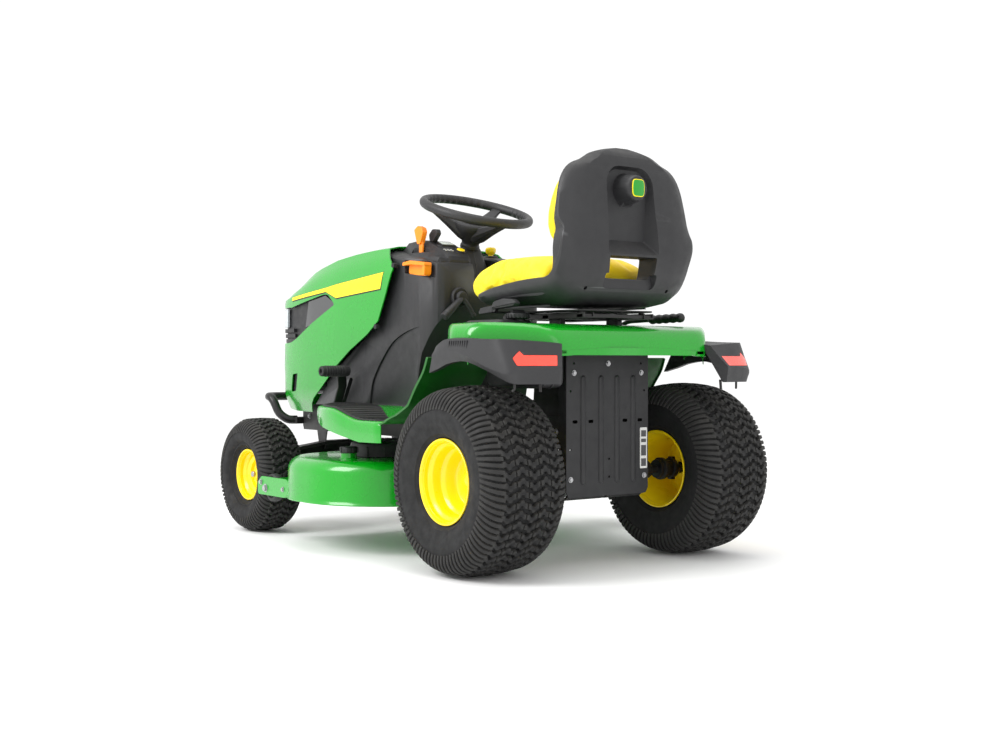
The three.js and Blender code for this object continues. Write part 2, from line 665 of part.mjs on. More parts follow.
function hoodShell() {
  const outer = skinned(HOOD_STATIONS.map((y) => hoodRing(y, 0, HOOD_BOTTOM)));
  const inner = skinned(HOOD_STATIONS.map((y) => {
    const last = y === HOOD_STATIONS[HOOD_STATIONS.length - 1];
    return hoodRing(y, SHEET, HOOD_BOTTOM - 30).map((p) => (
      last ? [p[0], y + 20, p[2]] : [p[0], y + SHEET * 1.5, p[2]]));
  }));
  const rearCut = slab('x', [
    [-1217, 380], [-1206, 409], [-1129, 467], [-1000, 549], [-742, 692], [-645, 866],
    [-708, 936], [-708, 1000], [-500, 1000], [-500, 380]], -300, 300);
  return cut(outer, inner, rearCut, grillePrism(GAP));
}

// The nose and the side windows that the grille fills, grown by a gap.
function grillePrism(grow) {
  const window = [
    [-1600, 640 - grow], [-1345, 655 - grow], [-1156, 712 - grow], [-1015 + grow, 752],
    [-1009 + grow, 768], [-1093, 796 + grow], [-1366, 771 + grow], [-1600, 771 + grow]];
  const nose = [[-1600, 500 - grow], [-1455 + grow, 500 - grow], [-1455 + grow, 771 + grow],
    [-1600, 771 + grow]];
  return join(slab('x', window, -300, 300),
    slab('x', nose, -112 - grow, 112 + grow));
}

function hoodGrille() {
  const outer = skinned(HOOD_STATIONS.map((y) => hoodRing(y, 0.6, HOOD_BOTTOM)));
  const inner = skinned(HOOD_STATIONS.map((y) => hoodRing(y, 9, HOOD_BOTTOM - 30)
    .map((p) => [p[0], p[1] + 12, p[2]])));
  const wrap = cut(outer.intersect(grillePrism(0)), inner);
  return cut(wrap, headlightPrism(GAP));
}

function headlightPrism(grow) {
  return slab('y', [[-190 - grow, 694 - grow], [190 + grow, 694 - grow], [190 + grow, 762 + grow],
    [-190 - grow, 762 + grow]], -1600, -1432 + grow);
}

function headlightLens() {
  const outer = skinned(HOOD_STATIONS.map((y) => hoodRing(y, 0, HOOD_BOTTOM)));
  const inner = skinned(HOOD_STATIONS.map((y) => hoodRing(y, 9, HOOD_BOTTOM - 30)
    .map((p) => [p[0], p[1] + 12, p[2]])));
  return cut(outer.intersect(headlightPrism(0)), inner);
}

// ---------------------------------------------------------------- fenders, tail, footrests
// Left half of the fender seen from above: its front corner is cut back beside the footrest.
const FENDER_PLAN = [[240, -342], [300, -256], [400, -111], [FENDER_HALF, -50], [FENDER_HALF, 206]];
// Front end of the trim band that follows the fender's corner.
const BAND_PLAN = [[436, 10], [436, -48], [421, -82], [430, -112], [447, -104], [455, -60], [456, 10]];

function fender() {
  const profile = [
    [206, 584], [206, 622], [178, 664], [110, 674], [0, FENDER_TOP], [-190, 668],
    [-290, 634], [-360, 585], [-372, 560]];
  const outerSide = [...profile, [-372, 540], [206, 540]];
  const innerSide = insetOutline(outerSide, SHEET).map(([y, z]) => [y, z < 560 ? z - 30 : z]);
  const plan = [...FENDER_PLAN, ...FENDER_PLAN.map(([x, y]) => [-x, y]).reverse()];
  const outer = slab('x', outerSide, -FENDER_HALF, FENDER_HALF).intersect(slab('z', plan, 500, 700));
  const inner = slab('x', innerSide, -FENDER_HALF, FENDER_HALF)
    .intersect(slab('z', insetOutline(plan, SHEET), 450, 700));
  const arch = slab('y', [[-280, 500], [280, 500], [250, 580], [90, 603], [-90, 603], [-250, 580]],
    150, 260);
  const trim = box(-600, 600, -150, 300, 500, 574);
  const tunnel = box(-DASH_HALF - 3, DASH_HALF + 3, -450, -340, 500, 700);
  const neckHole = rod([215, -40, 640], [215, -40, 700], 23, 16);
  const leverSlot = box(LIFT_LEVER_X - 16, LIFT_LEVER_X + 16, -280, -150, 600, 700);
  const seatFeetHole = box(-122, 122, -100, 66, 660, 700);
  return cut(outer, inner, arch, trim, tunnel, neckHole, leverSlot, seatFeetHole);
}

// Corner panel that wraps the back and side of a fender; the lens lies in its rear face.
function tailPanelBody(s) {
  const level = (z, back, backOuter, front) => [
    [s * 284, back, z], [s * 436, backOuter, z], [s * 456, backOuter - 30, z],
    [s * 456, front, z], [s * (FENDER_HALF + GAP), front, z],
    [s * (FENDER_HALF + GAP), 209, z], [s * 300, 209 + GAP, z]];
  return [
    level(514, 252, 214, 60), level(553, 261, 230, 20), level(616, 224, 212, -20)];
}

function tailPanel(side) {
  const s = SIDES[side];
  const band = slab('z', BAND_PLAN.map(([x, y]) => [s * x, y]), 566, 616);
  return cut(join(skinned(tailPanelBody(s)), band), lensPrism(s, GAP, 217));
}

function lensPrism(s, grow, front) {
  return slab('y', [
    [s * (300 - grow), 587 + grow], [s * (314 - grow), 560 - grow], [s * (420 + grow), 560 - grow],
    [s * (430 + grow), 603 + grow], [s * (408 - grow), 603 + grow], [s * (396 - grow), 587 + grow],
  ], front - grow, 300);
}

function tailLens(side) {
  const s = SIDES[side];
  return skinned(tailPanelBody(s)).intersect(lensPrism(s, 0, 218));
}

function footrest(side) {
  const s = SIDES[side];
  const inner = DASH_HALF + 8;
  const outline = [
    [s * inner, -960], [s * 330, -905], [s * 430, -790], [s * 494, -640], [s * 500, -540],
    [s * 500, -300], [s * inner, -300]];
  const plate = slab('z', outline, 422, 434);
  const skirtPlan = [
    [s * inner, -960], [s * 330, -905], [s * 430, -790], [s * 494, -640], [s * 500, -540],
    [s * 500, -300], [s * 495, -300], [s * 495, -540], [s * 489, -639], [s * 426, -787],
    [s * 328, -900], [s * inner, -955]];
  const skirtSide = slab('x', [
    [-960, 396], [-860, 396], [-455, 368], [-313, 343], [-300, 343], [-300, 440], [-960, 440]],
  s * (inner - 10), s * 520);
  const skirt = slab('z', skirtPlan, 340, 440).intersect(skirtSide);
  const guard = slab('x', [
    [-330, 425], [-278, 425], [-238, 451], [-200, 504], [-162, 539], [-184, 539], [-222, 500]],
  s * (inner + 2), s * 440);
  return join(plate, skirt, guard);
}

// ---------------------------------------------------------------- seat
function seatBracket() {
  const rails = [1, -1].map((s) => box(s * 90, s * 130, -220, 140, 690, 706));
  const ties = [-200, -40, 110].map((y) => box(-130, 130, y, y + 30, 690, 702));
  const feet = [1, -1].map((s) => box(s * 96, s * 116, -28, 28, 628 + GAP, 692));
  const ears = [1, -1].map((s) => box(s * 100, s * 112, -220, -196, 700, 722));
  return join(...rails, ...ties, ...feet, ...ears);
}

function seatShell() {
  const backEdge = [[200, 752], [236, 830], [241, 890], [236, 966], [222, 1040], [196, 1092],
    [150, 1125], [92, 1145], [30, 1158]];
  const back = slab('y', [...backEdge, ...backEdge.map(([x, z]) => [-x, z]).reverse()], 128, 160);
  const pan = slab('z', [
    [-236, 160], [-240, 0], [-232, -190], [-190, -262], [0, -282], [190, -262],
    [232, -190], [240, 0], [236, 160]], 728, 752);
  const sides = [1, -1].map((s) => slab('x', [
    [-190, 740], [150, 740], [150, 870], [60, 820], [-60, 790], [-190, 770]],
  s * 230, s * 240));
  const spine = box(-60, 60, 150, 196, 880, 1090);
  const boss = rod([0, 190, 1040], [0, 222, 1040], 34, 20);
  const opening = slab('y', [[-81, 797], [81, 797], [84, 857], [-84, 857]], 100, 200);
  return cut(join(back, pan, ...sides, spine, boss), opening);
}

function seatCushion() {
  const ring = (z, inset) => roundedRectangle(
    -226 + inset, 226 - inset, -318 + inset, 70 - inset, 70 - inset / 2, 4)
    .map(([x, y]) => [x, y, z]);
  return skinned([ring(752 + GAP, 14), ring(775, 0), ring(835, 0), ring(862, 26)]);
}

function backCushion() {
  const ring = (y, inset) => roundedRectangle(
    -226 + inset, 226 - inset, 872 + inset, 1128 - inset, 80 - inset / 2, 4)
    .map(([x, z]) => [x, y, z]);
  return skinned([ring(128 - GAP, 12), ring(105, 0), ring(74, 10), ring(56, 34)]);
}

function seatLever() {
  return join(box(150, 265, -170, -146, 708, 720), box(253, 265, -170, 24, 712, 752));
}

// Deck lift lever, pulled back so that it lies along the right fender.
function liftLever() {
  const x = LIFT_LEVER_X;
  const stem = tube([[x, -200, 636], [x, -196, 670], [x, -160, 692], [x, -40, 697]], 7,
    { sides: 8, steps: 8 });
  const grip = rod([x, -50, 697], [x, 84, 700], 14, 12);
  const boss = rod([x - 12, -200, 636], [x + 12, -200, 636], 14, 12);
  return join(stem, grip, boss);
}

// ---------------------------------------------------------------- mowing deck
// Two lobes round the blades, each with a short straight side.
function deckOutline(inset) {
  const r = DECK_ARC_R - inset;
  const x = SPINDLE_X - 2;
  return [
    ...arc(x, DECK_FRONT_Y, r, -90, 0, 6), ...arc(x, DECK_REAR_Y, r, 0, 90, 6),
    [60, DECK_REAR_Y + r - 30], [-60, DECK_REAR_Y + r - 30],
    ...arc(-x, DECK_REAR_Y, r, 90, 180, 6), ...arc(-x, DECK_FRONT_Y, r, 180, 270, 6),
    [-60, DECK_FRONT_Y - r + 30], [60, DECK_FRONT_Y - r + 30]];
}

function deckShell() {
  const skin = cut(slab('z', deckOutline(0), DECK_BOTTOM, DECK_TOP),
    slab('z', deckOutline(SHEET), DECK_BOTTOM - 10, DECK_TOP - SHEET));
  const bores = Object.keys(SIDES).map((side) => rod(
    [SIDES[side] * SPINDLE_X, SPINDLE_Y[side], 260],
    [SIDES[side] * SPINDLE_X, SPINDLE_Y[side], 290], 22, 16));
  const mouth = box(-600, -480, -800, -500, 160, 262);
  const brackets = [1, -1].map((s) => join(
    box(s * 505, s * 511, -1030, -820, 148, 205),
    box(s * 440, s * 511, -900, -892, 160, 205)));
  const pins = [1, -1].map((s) => rod([s * 452, GAUGE_Y, GAUGE_Z], [s * 516, GAUGE_Y, GAUGE_Z],
    6, 8));
  const hangers = [-820, -480].flatMap((y) => [1, -1].map((s) => box(
    s * 170, s * 176, y - 20, y + 20, DECK_TOP - 2, 318)));
  const port = turned([[0, -2], [26, -2], [26, 34], [22, 36], [0, 36]],
    'z', [425, -600, DECK_TOP], 16);
  const hingeBar = rod([CHUTE_HINGE_X, -810, CHUTE_HINGE_Z], [CHUTE_HINGE_X, -490, CHUTE_HINGE_Z],
    5, 8);
  const hingeTabs = [-802, -498].map((y) => box(
    CHUTE_HINGE_X - 3, -470, y - 6, y + 6, DECK_TOP - 9, DECK_TOP));
  return join(cut(skin, ...bores, mouth), ...brackets, ...pins, ...hangers, port, hingeBar,
    ...hingeTabs);
}

function blade(side) {
  const s = SIDES[side];
  const x = s * SPINDLE_X;
  const y = SPINDLE_Y[side];
  const bar = slab('z', [
    [x - 30, y - BLADE_LENGTH / 2], [x + 30, y - BLADE_LENGTH / 2],
    [x + 30, y + BLADE_LENGTH / 2], [x - 30, y + BLADE_LENGTH / 2]], BLADE_Z, BLADE_Z + 5);
  const shaft = rod([x, y, BLADE_Z - 10], [x, y, 310], 12, 12);
  const hub = rod([x, y, BLADE_Z], [x, y, BLADE_Z + 60], 30, 12);
  const pulley = turned([[0, 0], [66, 0], [60, 6], [66, 12], [0, 12]], 'z', [x, y, 292], 16);
  return join(bar, shaft, hub, pulley);
}

function dischargeChute() {
  const top = slab('y', [
    [-566, 281], [-640, 276], [-722, 240], [-CHUTE_REACH, 168], [-CHUTE_REACH + 4, 166],
    [-720, 236], [-640, 271], [-566, 277]], -785, -515);
  const wallSide = [[-574, 279], [-640, 272], [-718, 238], [-774, 170], [-610, 170]];
  const walls = [-785, -519].map((y) => slab('y', wallSide, y, y + 4));
  const knuckles = [-740, -650, -560].map((y) => cut(
    box(CHUTE_HINGE_X - 11, CHUTE_HINGE_X + 8, y - 15, y + 15, DECK_TOP - 14, DECK_TOP + 2),
    rod([CHUTE_HINGE_X, y - 20, CHUTE_HINGE_Z], [CHUTE_HINGE_X, y + 20, CHUTE_HINGE_Z], 5.7, 12)));
  return join(top, ...walls, ...knuckles);
}

function gaugeWheel(side) {
  const s = SIDES[side];
  return turned([[6.8, -15], [38, -15], [45, -8], [45, 8], [38, 15], [6.8, 15], [6.8, -15]],
    'x', [s * 478, GAUGE_Y, GAUGE_Z], 16);
}

// ---------------------------------------------------------------- assembly
add('chassis_frame', chassisFrame(), 'black');
add('rear_plate', rearPlate(), 'black');
add('front_bumper', frontBumper(), 'black');
add('transaxle', transaxle(), 'casting');
add('engine_block', engineBlock(), 'casting');
add('engine_pulley', enginePulley(), 'steel');
add('muffler', muffler(), 'steel');
add('drive_belt', driveBelt(), 'rubber');
add('fuel_tank', fuelTank(), 'charcoal');
add('fuel_cap', fuelCap(), 'black');
add('front_axle', frontAxle(), 'black');
add('tie_rod', tieRod(), 'steel');
steering();
add('dash_pedestal', dashPedestal(), 'charcoal');
add('dash_top', dashTop(), 'charcoal');
add('throttle_lever', dashLever(LEVER_SLOTS[0], 994), 'orange');
add('choke_lever', dashLever(LEVER_SLOTS[1], 984), 'black');
add('pto_knob', pushKnob('z', [-115, -612, 946 + GAP], 17, 34), 'yellow');
add('ignition_key', pushKnob('y', [-115, -452 + GAP, 840], 11, 26), 'steel');
add('park_brake_latch', parkBrakeLatch(), 'orange');
add('cruise_lever', cruiseLever(), 'charcoal');
add('brake_pedal', brakePedal(), 'black');
add('forward_pedal', drivePedal(-290, -900), 'black');
add('reverse_pedal', drivePedal(-375, -800), 'black');
add('hood_shell', hoodShell(), 'green');
add('hood_grille', hoodGrille(), 'charcoal');
add('headlight_lens', headlightLens(), 'lens_clear');
add('fender', fender(), 'green');
add('seat_bracket', seatBracket(), 'black');
add('seat_shell', seatShell(), 'charcoal');
add('seat_cushion', seatCushion(), 'cushion');
add('back_cushion', backCushion(), 'cushion');
add('seat_adjust_lever', seatLever(), 'black');
add('lift_lever', liftLever(), 'black');
add('deck_shell', deckShell(), 'green');
add('discharge_chute', dischargeChute(), 'black');
for (const side of Object.keys(SIDES)) {
  rearWheel(side);
  frontWheel(side);
  add(`spindle_${side}`, spindle(side), 'black');
  add(`tail_panel_${side}`, tailPanel(side), 'charcoal');
  add(`tail_lens_${side}`, tailLens(side), 'lens_red');
  add(`footrest_${side}`, footrest(side), 'green');
  add(`blade_${side}`, blade(side), 'steel');
  add(`gauge_wheel_${side}`, gaugeWheel(side), 'rubber');
}

export default machine;
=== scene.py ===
"""Riding lawn mower: the visual model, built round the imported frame.

Pieces are drawn in millimetres in the machine's own frame (origin on the ground under the rear
axle, +X to the machine's left, +Y to its rear, +Z up) and moved to the row frame as they are made.
"""

import math

import bmesh
import bpy
from mathutils import Matrix, Vector


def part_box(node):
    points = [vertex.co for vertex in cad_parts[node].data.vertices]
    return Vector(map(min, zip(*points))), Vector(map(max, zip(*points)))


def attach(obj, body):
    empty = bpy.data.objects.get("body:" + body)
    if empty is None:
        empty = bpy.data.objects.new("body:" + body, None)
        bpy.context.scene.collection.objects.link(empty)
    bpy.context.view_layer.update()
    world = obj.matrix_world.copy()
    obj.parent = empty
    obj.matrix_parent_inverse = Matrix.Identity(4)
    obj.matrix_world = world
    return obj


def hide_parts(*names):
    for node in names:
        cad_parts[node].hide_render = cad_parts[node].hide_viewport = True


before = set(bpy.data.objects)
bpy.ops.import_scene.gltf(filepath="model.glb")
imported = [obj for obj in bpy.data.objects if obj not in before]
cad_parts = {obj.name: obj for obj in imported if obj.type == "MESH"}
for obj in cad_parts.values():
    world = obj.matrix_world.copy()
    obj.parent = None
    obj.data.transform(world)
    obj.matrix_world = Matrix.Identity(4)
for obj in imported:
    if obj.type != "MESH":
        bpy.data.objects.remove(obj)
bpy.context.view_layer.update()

MM = 0.001
SIDES = {"left": 1, "right": -1}


def middle(node):
    low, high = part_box(node)
    return (low + high) / 2


ORIGIN = (middle("rear_tyre_left") + middle("rear_tyre_right")) / 2
ORIGIN.z = 0.0
TO_ROW = Matrix.Translation(ORIGIN) @ Matrix.Scale(MM, 4)


def local(node):
    """Lowest and highest corners of a CAD node, in millimetres from the machine's origin."""
    low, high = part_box(node)
    return (low - ORIGIN) / MM, (high - ORIGIN) / MM


# ---------------------------------------------------------------- camera, floor and light
scene = bpy.context.scene
scene.view_settings.view_transform = "Standard"


def make_camera():
    data = bpy.data.cameras.new("camera")
    data.lens = 48.92
    data.sensor_width = 36.0
    camera = bpy.data.objects.new("camera", data)
    camera.location = ORIGIN + Vector((2.512, 2.946, 0.566))
    pitch, turn = math.pi / 2 - 0.0085, math.pi - 0.6428
    camera.rotation_euler = (pitch, 0.0, turn)
    scene.collection.objects.link(camera)
    scene.camera = camera


def area_light(name, place, size, power, colour=(1, 1, 1)):
    data = bpy.data.lights.new(name, "AREA")
    data.size = size
    data.energy = power
    data.color = colour
    lamp = bpy.data.objects.new(name, data)
    lamp.location = place
    lamp.rotation_euler = (-Vector(place)).to_track_quat("-Z", "Y").to_euler()
    scene.collection.objects.link(lamp)


def make_world(strength):
    world = bpy.data.worlds.new("studio")
    world.use_nodes = True
    world.node_tree.nodes["Background"].inputs["Color"].default_value = (1, 1, 1, 1)
    world.node_tree.nodes["Background"].inputs["Strength"].default_value = strength
    scene.world = world


make_camera()
make_world(1.06)
area_light("key", (4.6, -0.6, 3.6), 2.6, 210)
area_light("top", (0.4, 0.6, 5.0), 3.0, 60)
area_light("rear_fill", (1.0, 5.5, 2.0), 3.0, 30)


# ---------------------------------------------------------------- outlines and curves
def arc(u, v, radius, start, end, steps):
    """Points of a round arc, angles in degrees."""
    turns = [math.radians(start + (end - start) * i / steps) for i in range(steps + 1)]
    return [(u + radius * math.cos(a), v + radius * math.sin(a)) for a in turns]


def rounded(points, radius, steps=4):
    """The closed outline with each corner cut by an arc. radius may be one number or one a corner."""
    radii = radius if isinstance(radius, (list, tuple)) else [radius] * len(points)
    result = []
    for i, point in enumerate(points):
        corner = Vector(point)
        back = Vector(points[i - 1]) - corner
        ahead = Vector(points[(i + 1) % len(points)]) - corner
        reach = min(radii[i], 0.45 * back.length, 0.45 * ahead.length)
        if reach < 0.01:
            result.append(tuple(corner))
            continue
        start = corner + back.normalized() * reach
        end = corner + ahead.normalized() * reach
        for k in range(steps + 1):
            t = k / steps
            result.append(tuple(start * (1 - t) ** 2 + corner * 2 * t * (1 - t) + end * t * t))
    return result


def rectangle(u0, u1, v0, v1, radius):
    """Outline of a rectangle with rounded corners."""
    return rounded([(u0, v0), (u1, v0), (u1, v1), (u0, v1)], radius)


def spline(points, steps=6, closed=False):
    """Smooth curve through the points, with that many steps between two points."""
    ps = [Vector(p) for p in points]
    count = len(ps)
    result = []
    spans = count if closed else count - 1
    for i in range(spans):
        p1, p2 = ps[i], ps[(i + 1) % count]
        p0 = ps[i - 1] if (i > 0 or closed) else p1 * 2 - p2
        p3 = ps[(i + 2) % count] if (i + 2 < count or closed) else p2 * 2 - p1
        for k in range(steps):
            t = k / steps
            result.append(0.5 * (2 * p1 + (p2 - p0) * t + (2 * p0 - 5 * p1 + 4 * p2 - p3) * t * t
                                 + (3 * p1 - p0 - 3 * p2 + p3) * t ** 3))
    if not closed:
        result.append(ps[-1])
    return [tuple(p) for p in result]


def table(knots, t):
    """Straight-line value between the knots (t, value)."""
    if t <= knots[0][0]:
        return knots[0][1]
    for (t0, v0), (t1, v1) in zip(knots, knots[1:]):
        if t <= t1:
            return v0 + (v1 - v0) * (t - t0) / (t1 - t0)
    return knots[-1][1]


def ease(t):
    t = min(max(t, 0.0), 1.0)
    return t * t * (3 - 2 * t)


def inset(points, distance):
    """The closed outline moved inwards by a distance."""
    area = sum(p[0] * q[1] - q[0] * p[1] for p, q in zip(points, points[1:] + points[:1]))
    turn = math.copysign(1, area)
    result = []
    for i, p in enumerate(points):
        a = (Vector(p) - Vector(points[i - 1]))
        b = (Vector(points[(i + 1) % len(points)]) - Vector(p))
        a = a.normalized() if a.length > 1e-6 else b.normalized()
        b = b.normalized() if b.length > 1e-6 else a
        normal = Vector((-a.y - b.y, a.x + b.x))
        normal = normal.normalized() if normal.length > 1e-6 else Vector((-a.y, a.x))
        reach = distance * turn / max(normal.dot(Vector((-a.y, a.x))), 0.35)
        result.append(tuple(Vector(p) + normal * reach))
    return result


# ---------------------------------------------------------------- solids
# A form is (vertices, faces) in millimetres.
def join(*forms):
    verts, faces = [], []
    for form_verts, form_faces in forms:
        base = len(verts)
        verts += [tuple(v) for v in form_verts]
        faces += [tuple(base + i for i in face) for face in form_faces]
    return verts, faces


def loft(rings, caps=True, loop=False, open_ring=False):
    """Skin over rings of points. loop joins the last ring to the first."""
    n, count = len(rings[0]), len(rings)
    faces = []
    for r in range(count if loop else count - 1):
        a, b = r * n, ((r + 1) % count) * n
        for i in range(n - 1 if open_ring else n):
            j = (i + 1) % n
            faces.append((a + i, a + j, b + j, b + i))
    if caps and not loop:
        faces.append(tuple(reversed(range(n))))
        faces.append(tuple(range((count - 1) * n, count * n)))
    return [p for ring in rings for p in ring], faces


def place(axis, u, v, w):
    """Point with its outline coordinates (u, v) laid across an axis, and w along it."""
    return {"x": (w, u, v), "y": (u, w, v), "z": (u, v, w)}[axis]


def prism(axis, outline, low, high):
    return loft([[place(axis, u, v, w) for u, v in outline] for w in (low, high)])


def levels(axis, outline, steps):
    """Rings of one outline, each at a height along the axis and drawn in by a distance."""
    return [[place(axis, u, v, w) for u, v in inset(outline, draw)] for w, draw in steps]


def pillow(axis, outline, low, high, edge):
    """Prism whose top edge is rounded over by a small inset."""
    rings = [(0, low), (0, high - edge), (edge * 0.3, high - edge * 0.3), (edge, high)]
    return loft([[place(axis, u, v, w) for u, v in inset(outline, d)] for d, w in rings])


def lathe(profile, axis, centre, segments=48, flip=1):
    """Closed profile of (radius, height) points turned about an axis through a centre."""
    rings = []
    for k in range(segments):
        a = 2 * math.pi * k / segments
        ring = [place(axis, r * math.cos(a), r * math.sin(a), h * flip) for r, h in profile]
        rings.append([tuple(Vector(p) + Vector(centre)) for p in ring])
    return loft(rings, loop=True)


def sweep(points, radius, sides=12, section=None, up=None):
    """Tube along a path. radius is a number or a function of the share of the path."""
    ps = [Vector(p) for p in points]
    outline = section or arc(0, 0, 1, 0, 360 - 360 / sides, sides - 1)
    side = None
    rings = []
    for i, p in enumerate(ps):
        ahead = (ps[min(i + 1, len(ps) - 1)] - ps[max(i - 1, 0)]).normalized()
        if up is not None:
            side = ahead.cross(Vector(up)).normalized()
        elif side is None:
            lean = Vector((0, 0, 1)) if abs(ahead.z) < 0.9 else Vector((0, 1, 0))
            side = ahead.cross(lean).normalized()
        else:
            side = (side - ahead * side.dot(ahead)).normalized()
        rise = side.cross(ahead).normalized()
        size = radius(i / (len(ps) - 1)) if callable(radius) else radius
        rings.append([tuple(p + side * u * size + rise * v * size) for u, v in outline])
    return loft(rings)


def moved(form, matrix):
    return [tuple(matrix @ Vector(v)) for v in form[0]], form[1]


def turn_at(place_at, degrees, axis="Z"):
    """Turn about an axis, then a move to a place."""
    return Matrix.Translation(place_at) @ Matrix.Rotation(math.radians(degrees), 4, axis)


def mirrored(form, side):
    return form if side > 0 else moved(form, Matrix.Diagonal((-1, 1, 1, 1)))


def mesh_of(name, form):
    mesh = bpy.data.meshes.new(name)
    mesh.from_pydata(form[0], [], form[1])
    work = bmesh.new()
    work.from_mesh(mesh)
    bmesh.ops.remove_doubles(work, verts=work.verts, dist=0.002)
    bmesh.ops.dissolve_degenerate(work, edges=work.edges, dist=0.002)
    bmesh.ops.recalc_face_normals(work, faces=work.faces)
    work.to_mesh(mesh)
    work.free()
    mesh.transform(TO_ROW)
    return mesh


def apply_modifiers(obj):
    graph = bpy.context.evaluated_depsgraph_get()
    mesh = bpy.data.meshes.new_from_object(obj.evaluated_get(graph))
    obj.modifiers.clear()
    obj.data = mesh


def carve(obj, tools, operation="DIFFERENCE"):
    for k, form in enumerate(tools):
        tool = bpy.data.objects.new(f"tool{k}", mesh_of("tool", form))
        scene.collection.objects.link(tool)
        cut = obj.modifiers.new("cut", "BOOLEAN")
        cut.operation, cut.object, cut.solver = operation, tool, "EXACT"
        apply_modifiers(obj)
        bpy.data.objects.remove(tool)


def piece(name, form, finish, body, replaces=(), bevel=1.0, angle=32, segments=2,
          shell=0.0, cuts=(), smooth=0):
    """One visible piece: its mesh, its modifiers, its finish, and the CAD body it rides on."""
    obj = bpy.data.objects.new(name, mesh_of(name, form))
    scene.collection.objects.link(obj)
    if smooth:
        rounder = obj.modifiers.new("smooth", "SUBSURF")
        rounder.levels = rounder.render_levels = smooth
        apply_modifiers(obj)
    if shell:
        thick = obj.modifiers.new("shell", "SOLIDIFY")
        thick.thickness, thick.offset = shell * MM, -1
        apply_modifiers(obj)
    if cuts:
        carve(obj, cuts)
    obj.data.shade_smooth()
    obj.data.set_sharp_from_angle(angle=math.radians(angle))
    if bevel:
        edge = obj.modifiers.new("edge", "BEVEL")
        edge.width, edge.segments = bevel * MM, segments
        edge.limit_method, edge.angle_limit = "ANGLE", math.radians(angle)
        edge.harden_normals = True
    obj.data.materials.clear()
    obj.data.materials.append(finish)
    if replaces:
        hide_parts(*replaces)
    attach(obj, body)
    return obj


# ---------------------------------------------------------------- finishes
def rgb(r, g, b):
    """sRGB 0-255 to the linear colour that the shader takes."""
    def linear(c):
        c /= 255
        return c / 12.92 if c <= 0.04045 else ((c + 0.055) / 1.055) ** 2.4
    return tuple(linear(c) for c in (r, g, b)) + (1.0,)


def finish(name, colour, rough, metal=0.0, tint=0.10, tint_scale=7.0, grain=0.0, grain_scale=800.0,
           cells=False, spread=0.08, wear=None, coat=0.0, coat_rough=0.08, dust=0.0, specular=0.5,
           sheen=0.0):
    """Procedural finish: broad colour variation, fine grain in relief, uneven gloss, worn edges
    and dust that settles on upward faces."""
    material = bpy.data.materials.new(name)
    material.use_nodes = True
    tree = material.node_tree
    shader = tree.nodes["Principled BSDF"]
    shader.inputs["Metallic"].default_value = metal
    shader.inputs["Coat Weight"].default_value = coat
    shader.inputs["Coat Roughness"].default_value = coat_rough
    shader.inputs["Specular IOR Level"].default_value = specular
    shader.inputs["Sheen Weight"].default_value = sheen

    def node(kind, **inputs):
        made = tree.nodes.new(kind)
        for key, value in inputs.items():
            made.inputs[key.replace("_", " ")].default_value = value
        return made

    def link(a, out, b, into):
        tree.links.new(a.outputs[out], b.inputs[into])

    def spread_of(source, out, low, high, to_low, to_high):
        ramp = node("ShaderNodeMapRange")
        for key, value in (("From Min", low), ("From Max", high), ("To Min", to_low),
                           ("To Max", to_high)):
            ramp.inputs[key].default_value = value
        link(source, out, ramp, "Value")
        return ramp

    def blend(mask, out, first, second):
        mix = tree.nodes.new("ShaderNodeMix")
        mix.data_type = "RGBA"
        link(mask, out, mix, "Factor")
        for index, value in ((6, first), (7, second)):
            if isinstance(value, tuple):
                mix.inputs[index].default_value = value
            else:
                tree.links.new(value.outputs[2], mix.inputs[index])
        return mix

    where = tree.nodes.new("ShaderNodeTexCoord")
    broad = node("ShaderNodeTexNoise", Scale=tint_scale, Detail=5.0, Roughness=0.6)
    link(where, "Object", broad, "Vector")
    dark = tuple(c * (1 - tint) for c in colour[:3]) + (1.0,)
    light = tuple(min(1.0, c * (1 + tint)) for c in colour[:3]) + (1.0,)
    colours = blend(spread_of(broad, "Fac", 0.3, 0.7, 0.0, 1.0), "Result", dark, light)
    if wear:
        shape = tree.nodes.new("ShaderNodeNewGeometry")
        edges = spread_of(shape, "Pointiness", 0.53, 0.62, 0.0, 0.55)
        colours = blend(edges, "Result", colours, wear)
    if dust:
        shape = tree.nodes.new("ShaderNodeNewGeometry")
        split = tree.nodes.new("ShaderNodeSeparateXYZ")
        link(shape, "Normal", split, 0)
        patch = node("ShaderNodeTexNoise", Scale=14.0, Detail=6.0)
        link(where, "Object", patch, "Vector")
        upward = spread_of(split, "Z", 0.2, 1.0, 0.0, dust)
        scatter = spread_of(patch, "Fac", 0.4, 0.75, 0.0, 1.0)
        both = tree.nodes.new("ShaderNodeMath")
        both.operation = "MULTIPLY"
        link(upward, "Result", both, 0)
        link(scatter, "Result", both, 1)
        colours = blend(both, "Value", colours, rgb(150, 140, 118))
    tree.links.new(colours.outputs[2], shader.inputs["Base Color"])
    uneven = node("ShaderNodeTexNoise", Scale=tint_scale * 5, Detail=3.0)
    link(where, "Object", uneven, "Vector")
    gloss = spread_of(uneven, "Fac", 0.3, 0.7, max(rough - spread, 0.03), min(rough + spread, 1.0))
    link(gloss, "Result", shader, "Roughness")
    if grain:
        if cells:
            relief = node("ShaderNodeTexVoronoi", Scale=grain_scale)
            out = "Distance"
        else:
            relief = node("ShaderNodeTexNoise", Scale=grain_scale, Detail=3.0)
            out = "Fac"
        link(where, "Object", relief, "Vector")
        bump = node("ShaderNodeBump", Strength=grain, Distance=0.0006)
        link(relief, out, bump, "Height")
        link(bump, "Normal", shader, "Normal")
    return material


